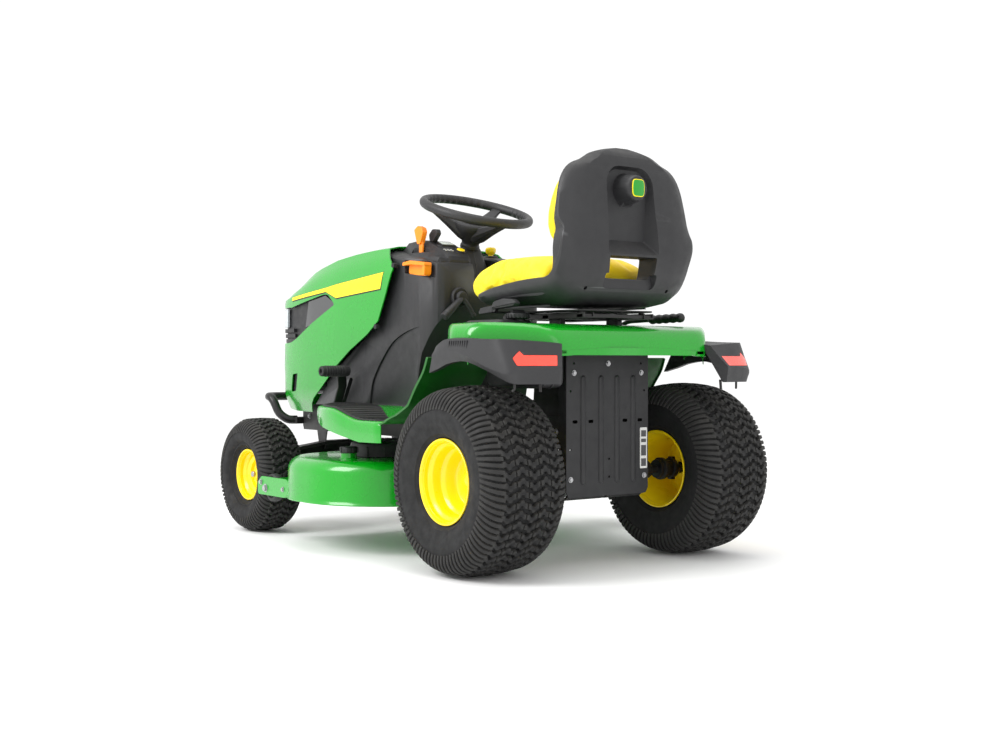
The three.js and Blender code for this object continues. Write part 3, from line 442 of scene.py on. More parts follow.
GREEN = finish("green_paint", rgb(2, 148, 20), 0.26, tint=0.05, tint_scale=3.0, grain=0.02,
               grain_scale=260, coat=0.6, coat_rough=0.12, spread=0.05, specular=0.4)
# A darker copy of the green paint. The darkness is painted shade for the walls beside the wheels, under
# the fender; the dust on it is dust.
GREEN_PAINTED_SHADE = finish("green_painted_shade", rgb(12, 92, 18), 0.45, tint=0.15, grain=0.08,
                    grain_scale=300, spread=0.1, dust=0.1)
YELLOW = finish("yellow_paint", rgb(252, 218, 10), 0.32, tint=0.04, grain=0.05, grain_scale=300,
                coat=0.5, coat_rough=0.15, spread=0.06, specular=0.4)
YELLOW_TRIM = finish("yellow_trim", rgb(250, 232, 20), 0.4, tint=0.03, grain=0.05,
                     grain_scale=500, spread=0.05)
CHARCOAL = finish("charcoal_plastic", rgb(34, 34, 36), 0.5, tint=0.10, grain=0.35,
                  grain_scale=1500, spread=0.07, wear=rgb(96, 96, 98), dust=0.04)
PANEL = finish("tail_plastic", rgb(36, 36, 38), 0.5, tint=0.08, grain=0.3, grain_scale=1500,
               spread=0.06, wear=rgb(84, 84, 86))
BLACK_PLASTIC = finish("black_plastic", rgb(25, 25, 27), 0.5, tint=0.12, grain=0.3,
                       grain_scale=1300, spread=0.08, wear=rgb(60, 60, 62))
BLACK = finish("black_paint", rgb(21, 21, 22), 0.42, metal=0.15, tint=0.15, grain=0.18,
               grain_scale=420, spread=0.1, wear=rgb(74, 72, 70), dust=0.08)
PLATE = finish("plate_paint", rgb(27, 27, 29), 0.5, metal=0.1, tint=0.10, grain=0.22,
               grain_scale=600, spread=0.07, wear=rgb(70, 70, 72), dust=0.05)
STEEL = finish("zinc_steel", rgb(176, 176, 178), 0.34, metal=0.95, tint=0.15, tint_scale=30,
               grain=0.15, grain_scale=900, spread=0.12)
CASTING = finish("cast_aluminium", rgb(140, 141, 143), 0.55, metal=0.8, tint=0.18,
                 tint_scale=18, grain=0.6, grain_scale=420, spread=0.12, dust=0.15)
TYRE = finish("tyre_rubber", rgb(25, 25, 26), 0.72, tint=0.18, tint_scale=9, grain=0.35,
              grain_scale=700, spread=0.12, wear=rgb(66, 65, 63), dust=0.08, specular=0.35)
RUBBER = finish("rubber", rgb(30, 30, 32), 0.75, tint=0.15, grain=0.3, grain_scale=900,
                spread=0.1, dust=0.05)
VINYL = finish("seat_vinyl", rgb(255, 226, 22), 0.46, tint=0.04, tint_scale=10, grain=0.55,
               grain_scale=620, cells=True, spread=0.07, specular=0.35, sheen=0.08)
ORANGE = finish("orange_plastic", rgb(250, 140, 20), 0.36, tint=0.05, grain=0.12,
                grain_scale=900, spread=0.06)
LENS = finish("red_lens", rgb(240, 70, 50), 0.2, tint=0.08, tint_scale=60, grain=0.25,
              grain_scale=180, coat=0.8, coat_rough=0.05, spread=0.05)
CLEAR = finish("clear_lens", rgb(190, 196, 200), 0.14, tint=0.12, tint_scale=40, grain=0.3,
               grain_scale=160, coat=0.8, coat_rough=0.03, spread=0.05)
GLASS = finish("smoked_glass", rgb(26, 28, 30), 0.12, tint=0.2, tint_scale=12, grain=0.05,
               grain_scale=300, coat=0.8, coat_rough=0.04, spread=0.05)
DISPLAY = finish("display", rgb(206, 214, 206), 0.25, tint=0.05, tint_scale=60, grain=0.1,
                 grain_scale=900, spread=0.05)
STICKER = finish("plain_sticker", rgb(205, 205, 202), 0.4, tint=0.04, tint_scale=30, grain=0.05,
                 grain_scale=600, spread=0.05)


# ---------------------------------------------------------------- tyres
def tyre_section(radius, half, flange, rim):
    """Closed section of the carcass: outer wall, tread base, and the hollow side that faces the rim."""
    k = radius / 254
    wall = [(flange - 3, rim - 7), (flange + 2, rim - 4), (flange + 7, rim + 2),
            (flange + 10, rim + 4), (flange + 13, rim + 8 * k), (flange + 18, rim + 9 * k),
            (flange + 28, half - 9 * k), (flange + 46 * k, half - 4 * k),
            (radius - 74 * k, half - 2 * k), (radius - 60 * k, half - 3.5 * k),
            (radius - 46 * k, half - 8 * k), (radius - 34 * k, half - 14 * k),
            (radius - 24 * k, half - 23 * k), (radius - 18 * k, half - 36 * k),
            (radius - 13 * k, half * 0.45), (radius - 11 * k, half * 0.2)]
    lining = [(radius - 22 * k, half * 0.45), (radius - 42 * k, half - 32 * k),
              (flange + 20 * k, half - 20 * k), (flange - 3, rim - 16)]
    other = [(r, -h) for r, h in reversed(wall)]
    other_lining = [(r, -h) for r, h in reversed(lining)]
    return wall + other + other_lining + lining


def shoulder_fin(radius, half, angle, width, lean, side):
    """One rib of the shoulder: it starts at the tread and runs down the side wall."""
    k = radius / 254
    path = [(radius - 8 * k, half - 42 * k), (radius - 11 * k, half - 32 * k),
            (radius - 17 * k, half - 20 * k), (radius - 26 * k, half - 11 * k),
            (radius - 38 * k, half - 4.5 * k), (radius - 50 * k, half - 1 * k),
            (radius - 62 * k, half + 0.4 * k)]
    rings = []
    for i, (r, h) in enumerate(path):
        before, after = path[max(i - 1, 0)], path[min(i + 1, len(path) - 1)]
        along = Vector((after[0] - before[0], after[1] - before[1])).normalized()
        out = Vector((abs(along.y), abs(along.x)))
        a = angle + lean * (i / (len(path) - 1)) ** 1.6
        ring = []
        for depth, share in ((7 * k, 0.62), (1.0 * k, 0.5), (0.0, 0.36), (0.0, -0.36),
                             (1.0 * k, -0.5), (7 * k, -0.62)):
            rr, hh = r - out.x * depth, h - out.y * depth
            b = a + share * width / radius
            ring.append((side * hh, rr * math.cos(b), rr * math.sin(b)))
        rings.append(ring)
    return loft(rings)


def tread_block(radius, crown, across, angle, width, pitch, flip):
    """Chevron lug of the tread."""
    w, p = width / 2, pitch
    outline = [(-w, -0.50 * p), (-w * 0.55, -0.44 * p), (-w * 0.12, -0.20 * p),
               (w * 0.25, -0.20 * p), (w * 0.62, -0.46 * p), (w, -0.42 * p), (w, 0.02 * p),
               (w * 0.5, 0.12 * p), (w * 0.22, 0.36 * p), (-w * 0.22, 0.36 * p),
               (-w * 0.46, 0.10 * p), (-w, 0.02 * p)]
    rings = []
    for sink, draw in ((9.0, -0.8), (1.4, 0.2), (0.0, 1.5)):
        ring = []
        for u, v in inset(outline, draw):
            h = across + u
            r = radius - crown * (h / 100) ** 2 - sink
            b = angle + flip * v / radius
            ring.append((h, r * math.cos(b), r * math.sin(b)))
        rings.append(ring)
    return loft(rings)


def tyre(name, body, node, rim_node, fins, rows, columns):
    """Carcass, shoulder ribs and tread lugs as one piece."""
    low, high = local(node)
    rim_low, rim_high = local(rim_node)
    centre = (low + high) / 2
    radius, half = centre.z, (high.x - low.x) / 2
    flange, rim = (rim_high.z - rim_low.z) / 2 - 1, (rim_high.x - rim_low.x) / 2
    section = tyre_section(radius, half, flange, rim)
    forms = [lathe(section, "x", (0, 0, 0), 120)]
    pitch = 2 * math.pi * radius / fins
    for side in (1, -1):
        for i in range(fins):
            forms.append(shoulder_fin(radius, half, 2 * math.pi * (i + 0.25 * side) / fins,
                                      pitch * 0.6, 1.1 * pitch / radius, side))
    band = 2 * (half - 38 * radius / 254)
    width = band / columns
    step = 2 * math.pi / rows
    for c in range(columns):
        across = -band / 2 + width * (c + 0.5)
        for i in range(rows):
            forms.append(tread_block(radius, 10.0, across, step * (i + 0.5 * (c % 2)), width * 0.9,
                                     step * radius, 1 if c % 2 else -1))
    form = moved(join(*forms), Matrix.Translation(centre))
    return piece(name, form, TYRE, body, (node,), bevel=0, angle=28)


# ---------------------------------------------------------------- rims, hubs and axles
def rim_section(flange, rim, disc, hub):
    """Dished pressing with its stepped outer face, the barrel, and the lip at each end."""
    f = flange
    face = [(f, rim - 3), (f, rim + 0.5), (f - 2, rim + 2), (f - 5, rim + 1), (f - 7.5, rim - 4),
            (f - 9, rim - 9), (f - 10, rim - 17), (f - 13, rim - 21), (f - 19, rim - 24),
            (f - 22, rim - 29)]
    deep = rim - disc
    face += [(f - 23, rim - 0.45 * deep), (f - 26, rim - 0.55 * deep), (f - 33, rim - 0.60 * deep),
             (f - 37, rim - 0.65 * deep), (f - 40, rim - 0.84 * deep), (f - 46, disc + 6)]
    face += [(f - 54, disc + 3), (hub + 8, disc + 1), (hub + 3, disc + 3), (hub, disc + 12),
             (hub - 9, disc + 12)]
    back = [(hub - 9, disc - 26), (hub, disc - 26), (hub + 2, disc - 5), (f - 54, disc - 2),
            (f - 47, disc + 1), (f - 42, disc + 9), (f - 24, disc + 9)]
    barrel = [(f - 22, disc - 0.3 * rim), (f - 18, -rim + 24), (f - 9, -rim + 12),
              (f - 7, -rim + 4), (f - 4, -rim - 1.5), (f - 1, -rim - 1.5), (f, -rim + 2),
              (f - 3, -rim + 5), (f - 9.5, -rim + 8), (f - 13, -rim + 30), (f - 13, rim - 30),
              (f - 9.5, rim - 8), (f - 3, rim - 5)]
    return face + back + barrel


def wheel_rim(name, body, node, side, disc, hub, windows=0):
    """Rim on the CAD rim's centre. Returns the centre and the flange radius."""
    low, high = local(node)
    centre = (low + high) / 2
    flange, rim = (high.z - low.z) / 2 - 1, (high.x - low.x) / 2
    form = lathe(rim_section(flange, rim, disc, hub), "x", centre, 96, side)
    cuts = []
    for k in range(windows):
        turn = Matrix.Translation(centre) @ Matrix.Rotation(2 * math.pi * k / windows, 4, "X")
        outline = rounded([(-8, hub + 9), (8, hub + 9), (13, flange - 47), (-13, flange - 47)], 5)
        cuts.append(moved(prism("x", outline, -30, 30), turn))
    piece(name, form, YELLOW, body, (node,), bevel=0.8, angle=35, cuts=cuts)
    return centre, flange


def valve_stem(name, body, centre, radius, out, side, angle):
    """Rubber valve standing out of the rim."""
    profile = [(0, 0), (5.5, 0), (5.5, 5), (3.6, 8), (3.4, 22), (4.6, 23), (4.6, 33), (3.6, 35),
               (0, 35)]
    place_at = Vector(centre) + Vector((side * out, radius * math.cos(angle),
                                        radius * math.sin(angle)))
    piece(name, lathe(profile, "x", place_at, 16, side), BLACK_PLASTIC, body, bevel=0.4)


def hub_cap(name, body, centre, out, side, radius):
    """Domed cap over the end of the axle."""
    dome = [(radius * math.cos(t), out + 6 + radius * 0.62 * math.sin(t))
            for t in (math.pi / 2 * k / 8 for k in range(9))]
    profile = [(0, out - 2), (radius + 2, out - 2), (radius + 2, out + 4), *dome]
    piece(name, lathe(profile, "x", centre, 40, side), YELLOW, body, bevel=0.6)


def wheels():
    """Rear and front wheels: tyre, rim, cap, valve, and the rear axle shafts."""
    for side, s in SIDES.items():
        body = f"rear_wheel_{side}"
        tyre(f"rear_tread_{side}", body, f"rear_tyre_{side}", f"rear_rim_{side}", 88, 56, 5)
        centre, flange = wheel_rim(f"rear_wheel_rim_{side}", body, f"rear_rim_{side}", s, 14,
                                        26)
        hub_cap(f"rear_hub_cap_{side}", body, centre, 20, s, 22)
        valve_stem(f"rear_valve_{side}", body, centre, flange - 62, 14, s, math.radians(-14))
        shaft = [(0, 14), (12.4, 14), (12.4, -30), (19, -32), (19, -44), (30, -45), (30, -58),
                 (24, -60), (24, -84), (33, -86), (33, -98), (27, -100), (27, -112), (12, -113),
                 (12, -228), (0, -228)]
        piece(f"rear_axle_{side}", lathe(shaft, "x", centre, 40, s), BLACK, body,
              (f"rear_axle_shaft_{side}",), bevel=0.8)
        key = prism("y", rectangle(s * -40, s * -56, -34, 34, 3),
                    -8, 8)
        piece(f"rear_drive_key_{side}", moved(key, Matrix.Translation(centre)), BLACK, body,
              bevel=1.2)
        body = f"front_wheel_{side}"
        tyre(f"front_tread_{side}", body, f"front_tyre_{side}", f"front_rim_{side}", 72, 46, 3)
        centre, flange = wheel_rim(f"front_wheel_rim_{side}", body, f"front_rim_{side}", s, -4,
                                        22, windows=5)
        hub_cap(f"front_hub_cap_{side}", body, centre, 8, s, 20)
        valve_stem(f"front_valve_{side}", body, centre, flange - 34, 2, s, math.radians(40))


wheels()


# ---------------------------------------------------------------- hood
HOOD_HALF = [(-1490, 150), (-1470, 178), (-1430, 201), (-1360, 216), (-1280, 226), (-1200, 233),
             (-1000, 243), (-800, 248), (-600, 250)]
SHOULDER = [(-1490, 765), (-1440, 794), (-1360, 824), (-1280, 856), (-1190, 886), (-1040, 912),
            (-900, 924), (-780, 929), (-600, 930)]
STRIPE_TOP = [(-1490, 784), (-1340, 799), (-1100, 818), (-900, 836), (-640, 858)]
REAR_EDGE = [(392, -1222), (404, -1212), (430, -1190), (469, -1127), (558, -991), (630, -860),
             (676, -742), (684, -730), (703, -718), (765, -684), (862, -636), (870, -646),
             (878, -652), (923, -700), (960, -716)]
CREST = [(-1490, 792), (-1430, 828), (-1360, 858), (-1200, 908), (-1000, 938), (-800, 948),
         (-600, 946)]
HOOD_BOTTOM = 398
NOSE_Y = -1484


def hood_knots(y):
    """(share, x, z) down the hood's left half at y, from the lower edge at 0 to the crest at 1."""
    half, top, shoulder, crest = (table(t, y) for t in (HOOD_HALF, STRIPE_TOP, SHOULDER, CREST))
    floor = HOOD_BOTTOM + 8 * ease((-1330 - y) / 150)
    return [(0.0, half - 24, floor), (0.04, half - 18, floor + 12), (0.12, half - 1, floor + 50),
            (0.30, half + 1, 560), (0.5, half + 0.5, 700), (0.6, half - 1, top - 12),
            (0.64, half - 4, top + 2), (0.72, half - 14, 0.5 * (top + shoulder) + 3),
            (0.80, half - 34, shoulder), (0.86, half - 70, shoulder + 0.45 * (crest - shoulder)),
            (0.93, half * 0.4, crest - 5), (1.0, 0, crest)]


def hood_line(share, y):
    knots = hood_knots(y)
    return (table([(k[0], k[1]) for k in knots], share), table([(k[0], k[2]) for k in knots],
                                                               share))


def hood_x(y, z):
    """Half width of the hood's side at a height."""
    return table([(k[2], k[1]) for k in hood_knots(y)[:9]], z)


def hood_form():
    shares = [0, .02, .04, .08, .12, .18, .24, .30, .37, .44, .5, .55, .6, .62, .64, .68, .72, .76,
              .80, .83, .86, .895, .93, .965, 1.0]
    stations = [0, .004, .012, .03, .06, .1, .15, .2, .26, .33, .4, .48, .56, .64, .72, .8, .88,
                .94, 1.0]
    lines = []
    for share in shares:
        line = []
        for t in stations:
            y = NOSE_Y
            for _ in range(12):
                x, z = hood_line(share, y)
                y = NOSE_Y + t * (table(REAR_EDGE, z) - NOSE_Y)
            x, z = hood_line(share, y)
            line.append((x, y, z))
        lines.append(line)
    rings = []
    for i in range(len(stations)):
        left = [line[i] for line in lines]
        right = [(-x, y, z) for x, y, z in reversed(left[:-1])]
        rings.append(left + right)
    verts, faces = loft(rings, caps=False, open_ring=True)
    faces.append(tuple(range(len(rings[0]))))
    return verts, faces


def side_band(stations, sink, thickness, rows=6):
    """Strip that follows the hood's side. A station is (y, z) of its top and (y, z) of its bottom."""
    rings = []
    for (y0, z0), (y1, z1) in stations:
        outer, inner = [], []
        for k in range(rows + 1):
            y, z = y0 + (y1 - y0) * k / rows, z0 + (z1 - z0) * k / rows
            outer.append((hood_x(y, z) - sink, y, z))
            inner.append((hood_x(y, z) - sink - thickness, y, z))
        rings.append(outer + inner[::-1])
    return loft(rings)


def nose_band(heights, back, sink, thickness):
    """Band that wraps the nose from one side to the other. heights are its z levels."""
    rings = []
    for z in heights:
        ys = [back, back - 25, -1405, -1430, -1450, -1466, -1474]
        ys = [y for y in ys if y <= back]
        left = [(hood_x(y, z) - sink, y) for y in ys]
        corner = rounded([left[-1], (hood_x(-1482, z) - sink - 4, NOSE_Y + sink),
                          (0, NOSE_Y + sink)], [0, 12, 0], 3)
        outer = left[:-1] + corner[:-1]
        outer = outer + [(0, NOSE_Y + sink)] + [(-x, y) for x, y in reversed(outer)]
        inner = [(x - math.copysign(thickness, x) if abs(x) > 1 else x, max(y, NOSE_Y + sink
                 + thickness)) for x, y in outer]
        rings.append([(x, y, z) for x, y in outer] + [(x, y, z) for x, y in reversed(inner)])
    return loft(rings)


def lerp_pairs(pairs, steps):
    """Stations between the given ones, with that many steps to a span."""
    result = []
    for (a, b), (c, d) in zip(pairs, pairs[1:]):
        for k in range(steps):
            t = k / steps
            result.append((tuple(Vector(a).lerp(Vector(c), t)),
                           tuple(Vector(b).lerp(Vector(d), t))))
    return result + [pairs[-1]]


WINDOW = [(-1345, 764), (-1085, 799), (-1052, 797), (-1003, 762), (-1150, 712), (-1296, 655),
          (-1350, 640), (-1600, 632), (-1600, 764)]
STRIPE = [((-690, 853), (-706, 801)), ((-992, 829), (-992, 783)), ((-1068, 821), (-1068, 807)),
          ((-1345, 799), (-1345, 787))]


def hood():
    """Hood skin with its stripe, side window, vents, grille and headlight."""
    window = rounded(WINDOW, [4, 10, 10, 14, 60, 60, 20, 2, 2], 5)
    vent = rounded([(-1292, 532), (-1338, 528), (-1354, 465), (-1308, 470)], 7)
    nose = rounded([(-128, 470), (128, 470), (150, 640), (150, 700), (-150, 700), (-150, 640)], 14)
    cuts = [prism("x", window, -420, 420), prism("x", vent, -420, 420),
            prism("y", nose, -1600, -1462)]
    piece("hood_skin", hood_form(), GREEN, "hood", ("hood_shell",), bevel=1.6,
          angle=24, shell=4.0, cuts=cuts)
    border = [((y0 + 3, z0 + 1.5), (y1 + 4, z1 - 4)) for (y0, z0), (y1, z1) in STRIPE]
    for side, s in SIDES.items():
        strip = side_band(lerp_pairs(STRIPE, 8), -0.9, 2.4)
        piece(f"hood_stripe_{side}", mirrored(strip, s), YELLOW_TRIM, "hood", bevel=0.3)
        edge = side_band(lerp_pairs(border, 8), -0.4, 2.4)
        piece(f"hood_stripe_edge_{side}", mirrored(edge, s), BLACK_PLASTIC, "hood", bevel=0.2)
        blade = side_band(lerp_pairs([((-1010, 764), (-1110, 724)), ((-1085, 796), (-1190, 700)),
                                      ((-1215, 780), (-1240, 690))], 6), 8, 4)
        piece(f"window_glass_{side}", mirrored(blade, s), GLASS, "hood", bevel=1.2)
        seal = side_band(lerp_pairs([((-1270, 552), (-1270, 452)), ((-1372, 548), (-1372, 446))],
                                    4), 9, 3)
        piece(f"vent_liner_{side}", mirrored(seal, s), BLACK_PLASTIC, "hood", bevel=0.5)
        for k, clip in enumerate(((-734, 683), (-640, 872))):
            form = prism("x", rounded([(clip[0] - 9, clip[1] - 6), (clip[0] + 7, clip[1] - 9),
                                       (clip[0] + 9, clip[1] + 5), (clip[0] - 6, clip[1] + 8)], 3),
                         hood_x(*clip) - 12, hood_x(*clip) + 2)
            piece(f"hood_bumper_pad_{side}_{k}", mirrored(form, s), RUBBER, "hood", bevel=1.5)
    grille = [nose_band([z, z + 3, z + 11, z + 13], -1330 + 6 * k, 2 + 2.2 * k, 9)
              for k, z in enumerate((676, 658, 640))]
    liner = nose_band([468, 540, 620, 660, 700, 764, 776], -1350, 12, 4)
    flank = side_band(lerp_pairs([((-990, 806), (-990, 640)), ((-1380, 800), (-1380, 600))], 12),
                      12, 4, rows=10)
    bars = [prism("y", rounded([(-140, z), (140, z), (134, z + 7), (-134, z + 7)], 2), -1478, -1458)
            for z in range(486, 636, 20)]
    piece("hood_grille_frame", join(*grille, liner, flank, mirrored(flank, -1), *bars),
          BLACK_PLASTIC, "hood", ("hood_grille",), bevel=1.0)
    lamp = nose_band([694, 698, 706, 722, 740, 752, 760], -1392, -1.0, 10)
    piece("headlight", lamp, CLEAR, "hood", ("headlight_lens",), bevel=2.0)


hood()


# ---------------------------------------------------------------- fenders and tail
FENDER_TOP = [(206, 628), (188, 656), (132, 671), (0, 676), (-160, 671), (-262, 646), (-334, 600),
              (-372, 552)]
FENDER_FRONT = [(236, -372), (242, -343), (300, -256), (400, -111), (435, -50)]
FENDER_BACK = [(262, 206), (278, 197), (375, 100), (435, 34)]
FENDER_HALF = 435
TOP_CURVE = spline(FENDER_TOP, 8)


def fender_height(y):
    return table([(q, z) for q, z in reversed(TOP_CURVE)], y)


def fender_form():
    """Wings and bridge in one pressing. Its corners are cut back beside the feet and the lamps."""
    edge = 40
    xs = [0, 40, 80, 120, 160, 200, 228, 236, 242, 262, 278, 300, 325, 350, 375, FENDER_HALF - edge]
    xs += [FENDER_HALF - edge * (1 - math.sin(math.radians(a))) for a in (14, 28, 42, 56, 70, 90)]
    rings = []
    for x in [-x for x in reversed(xs[1:])] + xs:
        over = max(0.0, (abs(x) - (FENDER_HALF - edge)) / edge)
        drop = edge * (1 - math.sqrt(max(0.0, 1 - over * over)))
        back, front = table(FENDER_BACK, abs(x)), table(FENDER_FRONT, abs(x))
        arch = 16 * (1 - ease((abs(x) - 90) / 160))
        ring = [(back, 586 + arch), (back, 600 + arch * 0.5), (back, fender_height(back) - 36)]
        for a in (20, 40, 60, 80):
            t = math.radians(a)
            y = back - 26 * (1 - math.cos(t))
            ring.append((y, fender_height(y) - 26 * (1 - math.sin(t)) - drop * 0.9))
        inner, outer = back - 28, front + (24 if abs(x) > 238 else 2)
        for k in range(17):
            y = inner + (outer - inner) * k / 16
            ring.append((y, fender_height(y) - drop))
        if abs(x) > 238:
            for a in (70, 45, 20):
                t = math.radians(a)
                y = front + 22 * (1 - math.cos(t))
                ring.append((y, fender_height(y) - 22 * (1 - math.sin(t)) - drop))
            low = max(548, fender_height(front) - 66)
            ring += [(front, fender_height(front) - 26 - drop * 0.8), (front, low)]
        else:
            ring += [(front + 1.6, fender_height(front + 1.6)), (front + 1.2, fender_height(front)),
                     (front + 0.8, 550), (front + 0.4, 548), (front, 544)]
        rings.append([(x, y, z) for y, z in ring])
    for end in (0, -1):
        side = [(x * 1.002, y, 540 + (z - 540) * 0.5) for x, y, z in rings[end]]
        rings.insert(0 if end == 0 else len(rings), side)
    return loft(rings, caps=False, open_ring=True)


def wheel_arch(s):
    """Inner wall beside the wheel, and the guard that runs up from the footrest before the tyre."""
    wall = [(-366, 540), (-340, 430), (-280, 404), (-200, 500), (-130, 580), (120, 600),
            (186, 590), (186, 636), (100, 658), (-190, 656), (-300, 624)]
    inner = prism("x", rounded(wall, 14), s * 226, s * 231)
    path = spline([(-312, 396), (-290, 404), (-270, 424), (-240, 450), (-204, 500), (-168, 544),
                   (-150, 584)], 4)
    rings = []
    for y, z in path:
        reach = table([(396, 500), (410, 494), (424, 470), (450, 452), (590, 446)], z)
        rings.append([(s * 228, y, z), (s * reach, y, z), (s * reach, y + 9, z - 3),
                      (s * (reach - 3), y + 9, z - 3), (s * (reach - 3), y + 3.5, z - 1.5),
                      (s * 228, y + 3.5, z - 1.5)])
    return join(inner, loft(rings))


def fender():
    """Fender with its openings, and the walls beside the wheels."""
    neck_low, neck_high = local("fuel_cap")
    neck = (neck_low + neck_high) / 2
    lever = local("lift_lever")
    slot_x = (lever[0].x + lever[1].x) / 2
    cuts = [lathe([(0, -60), (26, -60), (26, 60), (0, 60)], "z", neck, 40),
            prism("z", rectangle(slot_x - 12, slot_x + 12, -248, -110, 8), 600, 720),
            prism("z", rectangle(-128, 128, -110, 76, 14), 640, 720)]
    piece("fender_skin", fender_form(), GREEN, "chassis", ("fender",), bevel=1.5,
          angle=30, shell=4.0, cuts=cuts)
    for side, s in SIDES.items():
        # The walls beside the wheels take the darker green: painted shade under the fender.
        piece(f"wheel_arch_{side}", wheel_arch(s), GREEN_PAINTED_SHADE, "chassis", bevel=1.2)


TAIL_TOP = [(271, 222, 617), (300, 219, 619), (360, 210, 623), (410, 198, 626), (436, 182, 627),
            (450, 158, 627), (456, 110, 629), (457, 40, 631), (456, -36, 631), (453, -72, 622),
            (449, -98, 612)]
TAIL_CREASE = [(303, 261, 553), (330, 254, 552), (370, 245, 550), (408, 235, 546), (430, 224, 543),
               (446, 200, 545), (459, 130, 566), (462, 50, 594), (461, -30, 601), (458, -76, 594),
               (453, -112, 584)]
TAIL_LOW = [(303, 256, 513), (330, 250, 513), (370, 241, 513), (406, 231, 513), (424, 218, 514),
            (438, 190, 524), (449, 130, 548), (453, 45, 571), (453, -32, 566), (450, -84, 552),
            (447, -134, 540)]
TAIL_INNER = [(266, 190), (282, 176), (318, 140), (350, 108), (376, 82), (398, 60), (415, 40),
              (425, 20), (427, -36), (424, -66), (420, -90)]


def tail_form():
    """Corner panel lofted from the lamp round to the front of the wheel: top, crease, lower edge."""
    lines = [spline(t, 4) for t in (TAIL_TOP, TAIL_CREASE, TAIL_LOW)]
    inner = spline(TAIL_INNER, 4)
    rings = []
    for top, crease, low, (x, y) in zip(*lines, inner):
        t, c, l = Vector(top), Vector(crease), Vector(low)
        turn = ease((190 - t.y) / 60)
        back = Vector((-turn, -(1 - turn), 0))
        lid = Vector((x, y, t.z + 4))
        under = Vector((x, y, t.z - 8))
        rings.append([tuple(p) for p in (t, t * 0.6 + c * 0.4, c + Vector((0, 0, 5)),
                                         c - Vector((0, 0, 5)), l, l + back * 16,
                                         t + back * 20 - Vector((0, 0, 16)), under, lid)])
    return loft(rings)


LENS_SHAPE = [(300, 587), (314, 560), (420, 560), (431, 604), (408, 604), (396, 587)]


def tail_panels():
    """Corner panels with their lamps, grips and struts."""
    for side, s in SIDES.items():
        form = mirrored(tail_form(), s)
        lens = rounded(LENS_SHAPE, 3)
        pocket = mirrored(prism("y", inset(lens, -1.0), 212, 300), s)
        piece(f"tail_panel_shape_{side}", form, PANEL, "chassis", (f"tail_panel_{side}",),
              bevel=2.2, angle=24, cuts=[pocket])
        body = piece(f"tail_lamp_{side}", form, LENS, "chassis", (f"tail_lens_{side}",),
                     bevel=0)
        carve(body, [mirrored(prism("y", lens, 213, 300), s)], "INTERSECT")
        body.data.set_sharp_from_angle(angle=math.radians(25))
        rim = body.modifiers.new("edge", "BEVEL")
        rim.width, rim.segments, rim.limit_method = 1.2 * MM, 2, "ANGLE"
        ribs = [prism("y", rounded([(x, -2), (x + 5, -2), (x + 3, 26), (x - 2, 26)], 1.5), 0, 4)
                for x in range(0, 84, 10)]
        turn = Matrix.Translation((457, 60, 600)) @ Matrix.Rotation(-math.pi / 2, 4, "Z")
        grip = moved(join(*ribs), turn)
        piece(f"tail_grip_{side}", mirrored(grip, s), BLACK_PLASTIC, "chassis", bevel=0.8)
        rod_path = [(330, 205, 520), (331, 207, 492)]
        forms = [sweep(rod_path, 4, 12), sweep([(405, 196, 518), (406, 195, 500), (410, 191, 494)],
                                               3.4, 12)]
        piece(f"tail_struts_{side}", mirrored(join(*forms), s), BLACK, "chassis", bevel=0.5)


fender()
tail_panels()


# ---------------------------------------------------------------- footrests
REST_EDGE = [(-960, 262), (-956, 268), (-948, 280), (-930, 305), (-905, 334), (-870, 365),
             (-792, 426),
             (-700, 470), (-646, 487), (-590, 496), (-540, 500), (-322, 500), (-308, 494)]


def rest_height(y):
    """Floor of the footrest: level at the front, then down a step towards the wheel."""
    return 434 - 32 * ease((y + 625) / 190)


def rest_reach(y):
    return table(REST_EDGE, y)


def footrest_form(s):
    rings = []
    ys = [-960, -958, -954, -948, -938, -925, -905, -880, -850, -820, -792, -760, -725, -690, -660,
          -630, -600, -570, -540, -510, -480, -450, -420, -380, -340, -322, -312, -308]
    for y in ys:
        reach, top = rest_reach(y), rest_height(y)
        if y < -950:
            top -= 8 * (1 - (y + 960) / 10)
        skirt = table([(-960, 396), (-760, 389), (-690, 379), (-421, 340), (-300, 342)], y)
        shares = [231 + (reach - 14 - 231) * k / 6 for k in range(7)]
        ring = [(x, y, top) for x in shares]
        ring += [(reach - 7, y, top - 1.5), (reach - 2, y, top - 6), (reach, y, top - 13),
                 (reach, y, 0.5 * (top - 13 + skirt)), (reach - 1, y, skirt)]
        rings.append(ring)
    rings.insert(0, [(x, y, 396) for x, y, _ in rings[0]])
    return mirrored(loft(rings, caps=False, open_ring=True), s)


def mat_bounds(y):
    """Inner and outer edge of the rubber mat at y."""
    outer = rest_reach(y) - 20 - 6 * ease((-880 - y) / 30)
    inner = 244 if y < -770 else 244 + (y + 770) * 0.41
    return inner, outer


